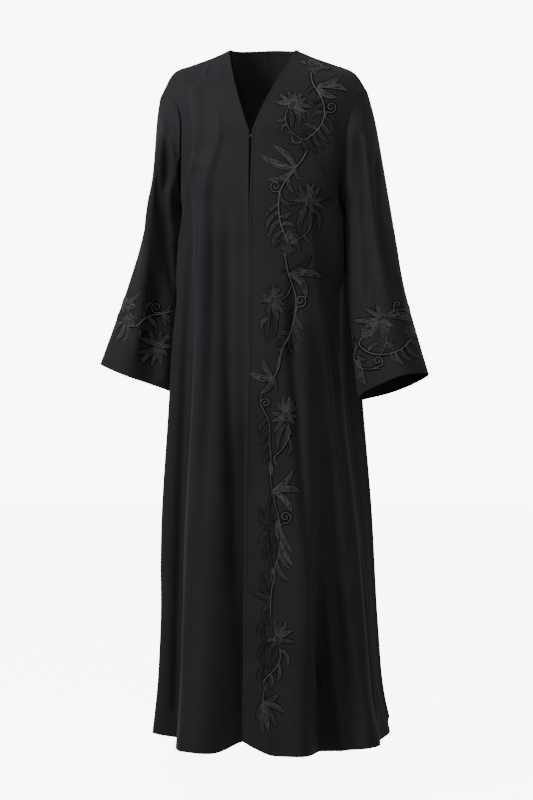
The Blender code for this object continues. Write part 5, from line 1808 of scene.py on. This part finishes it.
class ABAYA_OT_add_stage(bpy.types.Operator):
    """Adds the floor, the lights, the sky and the camera"""

    bl_idname = "abaya.add_stage"
    bl_label = "Stage"

    def execute(self, context):
        settings = context.scene.abaya_stage
        bm = bmesh.new()
        bmesh.ops.create_circle(bm, cap_ends=True, segments=96, radius=FLOOR_RADIUS)
        bmesh.ops.translate(bm, verts=bm.verts, vec=(0.0, 0.0, HEM_Z - settings.floor_drop))
        finish = Finish("pale_floor", Roughness=0.9, Emission_Strength=settings.glow)
        speck = finish.noise(finish.place(), 3.0)
        finish.set("Base Color", finish.blend(speck, (0.93, 0.93, 0.93, 1.0), (0.95, 0.95, 0.95, 1.0)))
        finish.set("Emission Color", (0.86, 0.86, 0.86, 1.0))
        floor = self.add_surround("floor", bm, finish)

        bm = bmesh.new()
        bmesh.ops.create_uvsphere(bm, u_segments=64, v_segments=32, radius=BACKDROP_RADIUS)
        bmesh.ops.reverse_faces(bm, faces=bm.faces)
        glow = Finish("backdrop_glow", Roughness=1.0, Emission_Strength=settings.glow)
        glow.set("Base Color", (0.0, 0.0, 0.0, 1.0))
        tint = glow.noise(glow.place(), 0.3)
        glow.set("Emission Color", glow.blend(tint, (0.97, 0.97, 0.97, 1.0), (1.0, 1.0, 1.0, 1.0)))
        backdrop = self.add_surround("backdrop", bm, glow)

        world = bpy.data.worlds.new("pale_sky")
        world.use_nodes = True
        background = world.node_tree.nodes["Background"]
        background.inputs["Color"].default_value = (1.0, 1.0, 1.0, 1.0)
        background.inputs["Strength"].default_value = settings.sky
        context.scene.world = world

        for light in LIGHTS:
            self.add_light(light, getattr(settings, light.power))

        place = photo_axes()[0]
        data = bpy.data.cameras.new("photo_camera")
        data.sensor_width = SENSOR_WIDTH
        data.lens = SENSOR_WIDTH * PIXELS_PER_METRE * CAMERA_DISTANCE / PHOTO_HEIGHT
        camera = bpy.data.objects.new("photo_camera", data)
        camera.location = place
        camera.rotation_euler = (math.pi / 2, 0.0, math.radians(CAMERA_AZIMUTH))
        context.scene.collection.objects.link(camera)
        context.scene.camera = camera
        return {"FINISHED"}

    def add_surround(self, name, bm, finish):
        """A finished mesh that neither lights the cloth nor shows in its gloss."""
        mesh = bpy.data.meshes.new(name)
        bm.to_mesh(mesh)
        bm.free()
        mesh.materials.append(finish.material)
        surround = bpy.data.objects.new(name, mesh)
        surround.visible_diffuse = False
        surround.visible_glossy = False
        bpy.context.scene.collection.objects.link(surround)
        return surround

    def add_light(self, light, power):
        """A square soft light that faces a target."""
        data = bpy.data.lights.new(light.name, "AREA")
        data.energy = power
        data.size = light.size
        lamp = bpy.data.objects.new(light.name, data)
        way = Vector(light.target) - Vector(light.place)
        lamp.location = light.place
        lamp.rotation_euler = way.to_track_quat("-Z", "Y").to_euler()
        bpy.context.scene.collection.objects.link(lamp)


class ABAYA_PT_sidebar(bpy.types.Panel):
    """Lists the cloak's pieces and their settings"""

    bl_idname = "ABAYA_PT_sidebar"
    bl_label = "Abaya cloak"
    bl_space_type = "VIEW_3D"
    bl_region_type = "UI"
    bl_category = "Abaya"

    def draw(self, context):
        layout = self.layout
        for group in SETTINGS:
            settings = getattr(context.scene, group)
            box = layout.box()
            for name in settings.__annotations__:
                box.prop(settings, name)
        for operator in OPERATORS:
            layout.operator(operator.bl_idname)


SETTINGS = {
    "abaya_cloth": AbayaClothSettings,
    "abaya_thread": AbayaThreadSettings,
    "abaya_stage": AbayaStageSettings,
}
OPERATORS = (
    ABAYA_OT_add_body,
    ABAYA_OT_add_sleeves,
    ABAYA_OT_finish_hooks,
    ABAYA_OT_add_vine,
    ABAYA_OT_add_cuff_embroidery,
    ABAYA_OT_add_stage,
)


def register():
    for name, group in SETTINGS.items():
        bpy.utils.register_class(group)
        setattr(bpy.types.Scene, name, bpy.props.PointerProperty(type=group))
    for item in (*OPERATORS, ABAYA_PT_sidebar):
        bpy.utils.register_class(item)


def unregister():
    for item in (ABAYA_PT_sidebar, *reversed(OPERATORS)):
        bpy.utils.unregister_class(item)
    for name, group in SETTINGS.items():
        delattr(bpy.types.Scene, name)
        bpy.utils.unregister_class(group)


def main():
    register()
    bpy.ops.abaya.add_body()
    bpy.ops.abaya.add_sleeves()
    bpy.ops.abaya.finish_hooks()
    bpy.ops.abaya.add_vine()
    bpy.ops.abaya.add_cuff_embroidery()
    bpy.ops.abaya.add_stage()


if __name__ == "__main__":
    main()
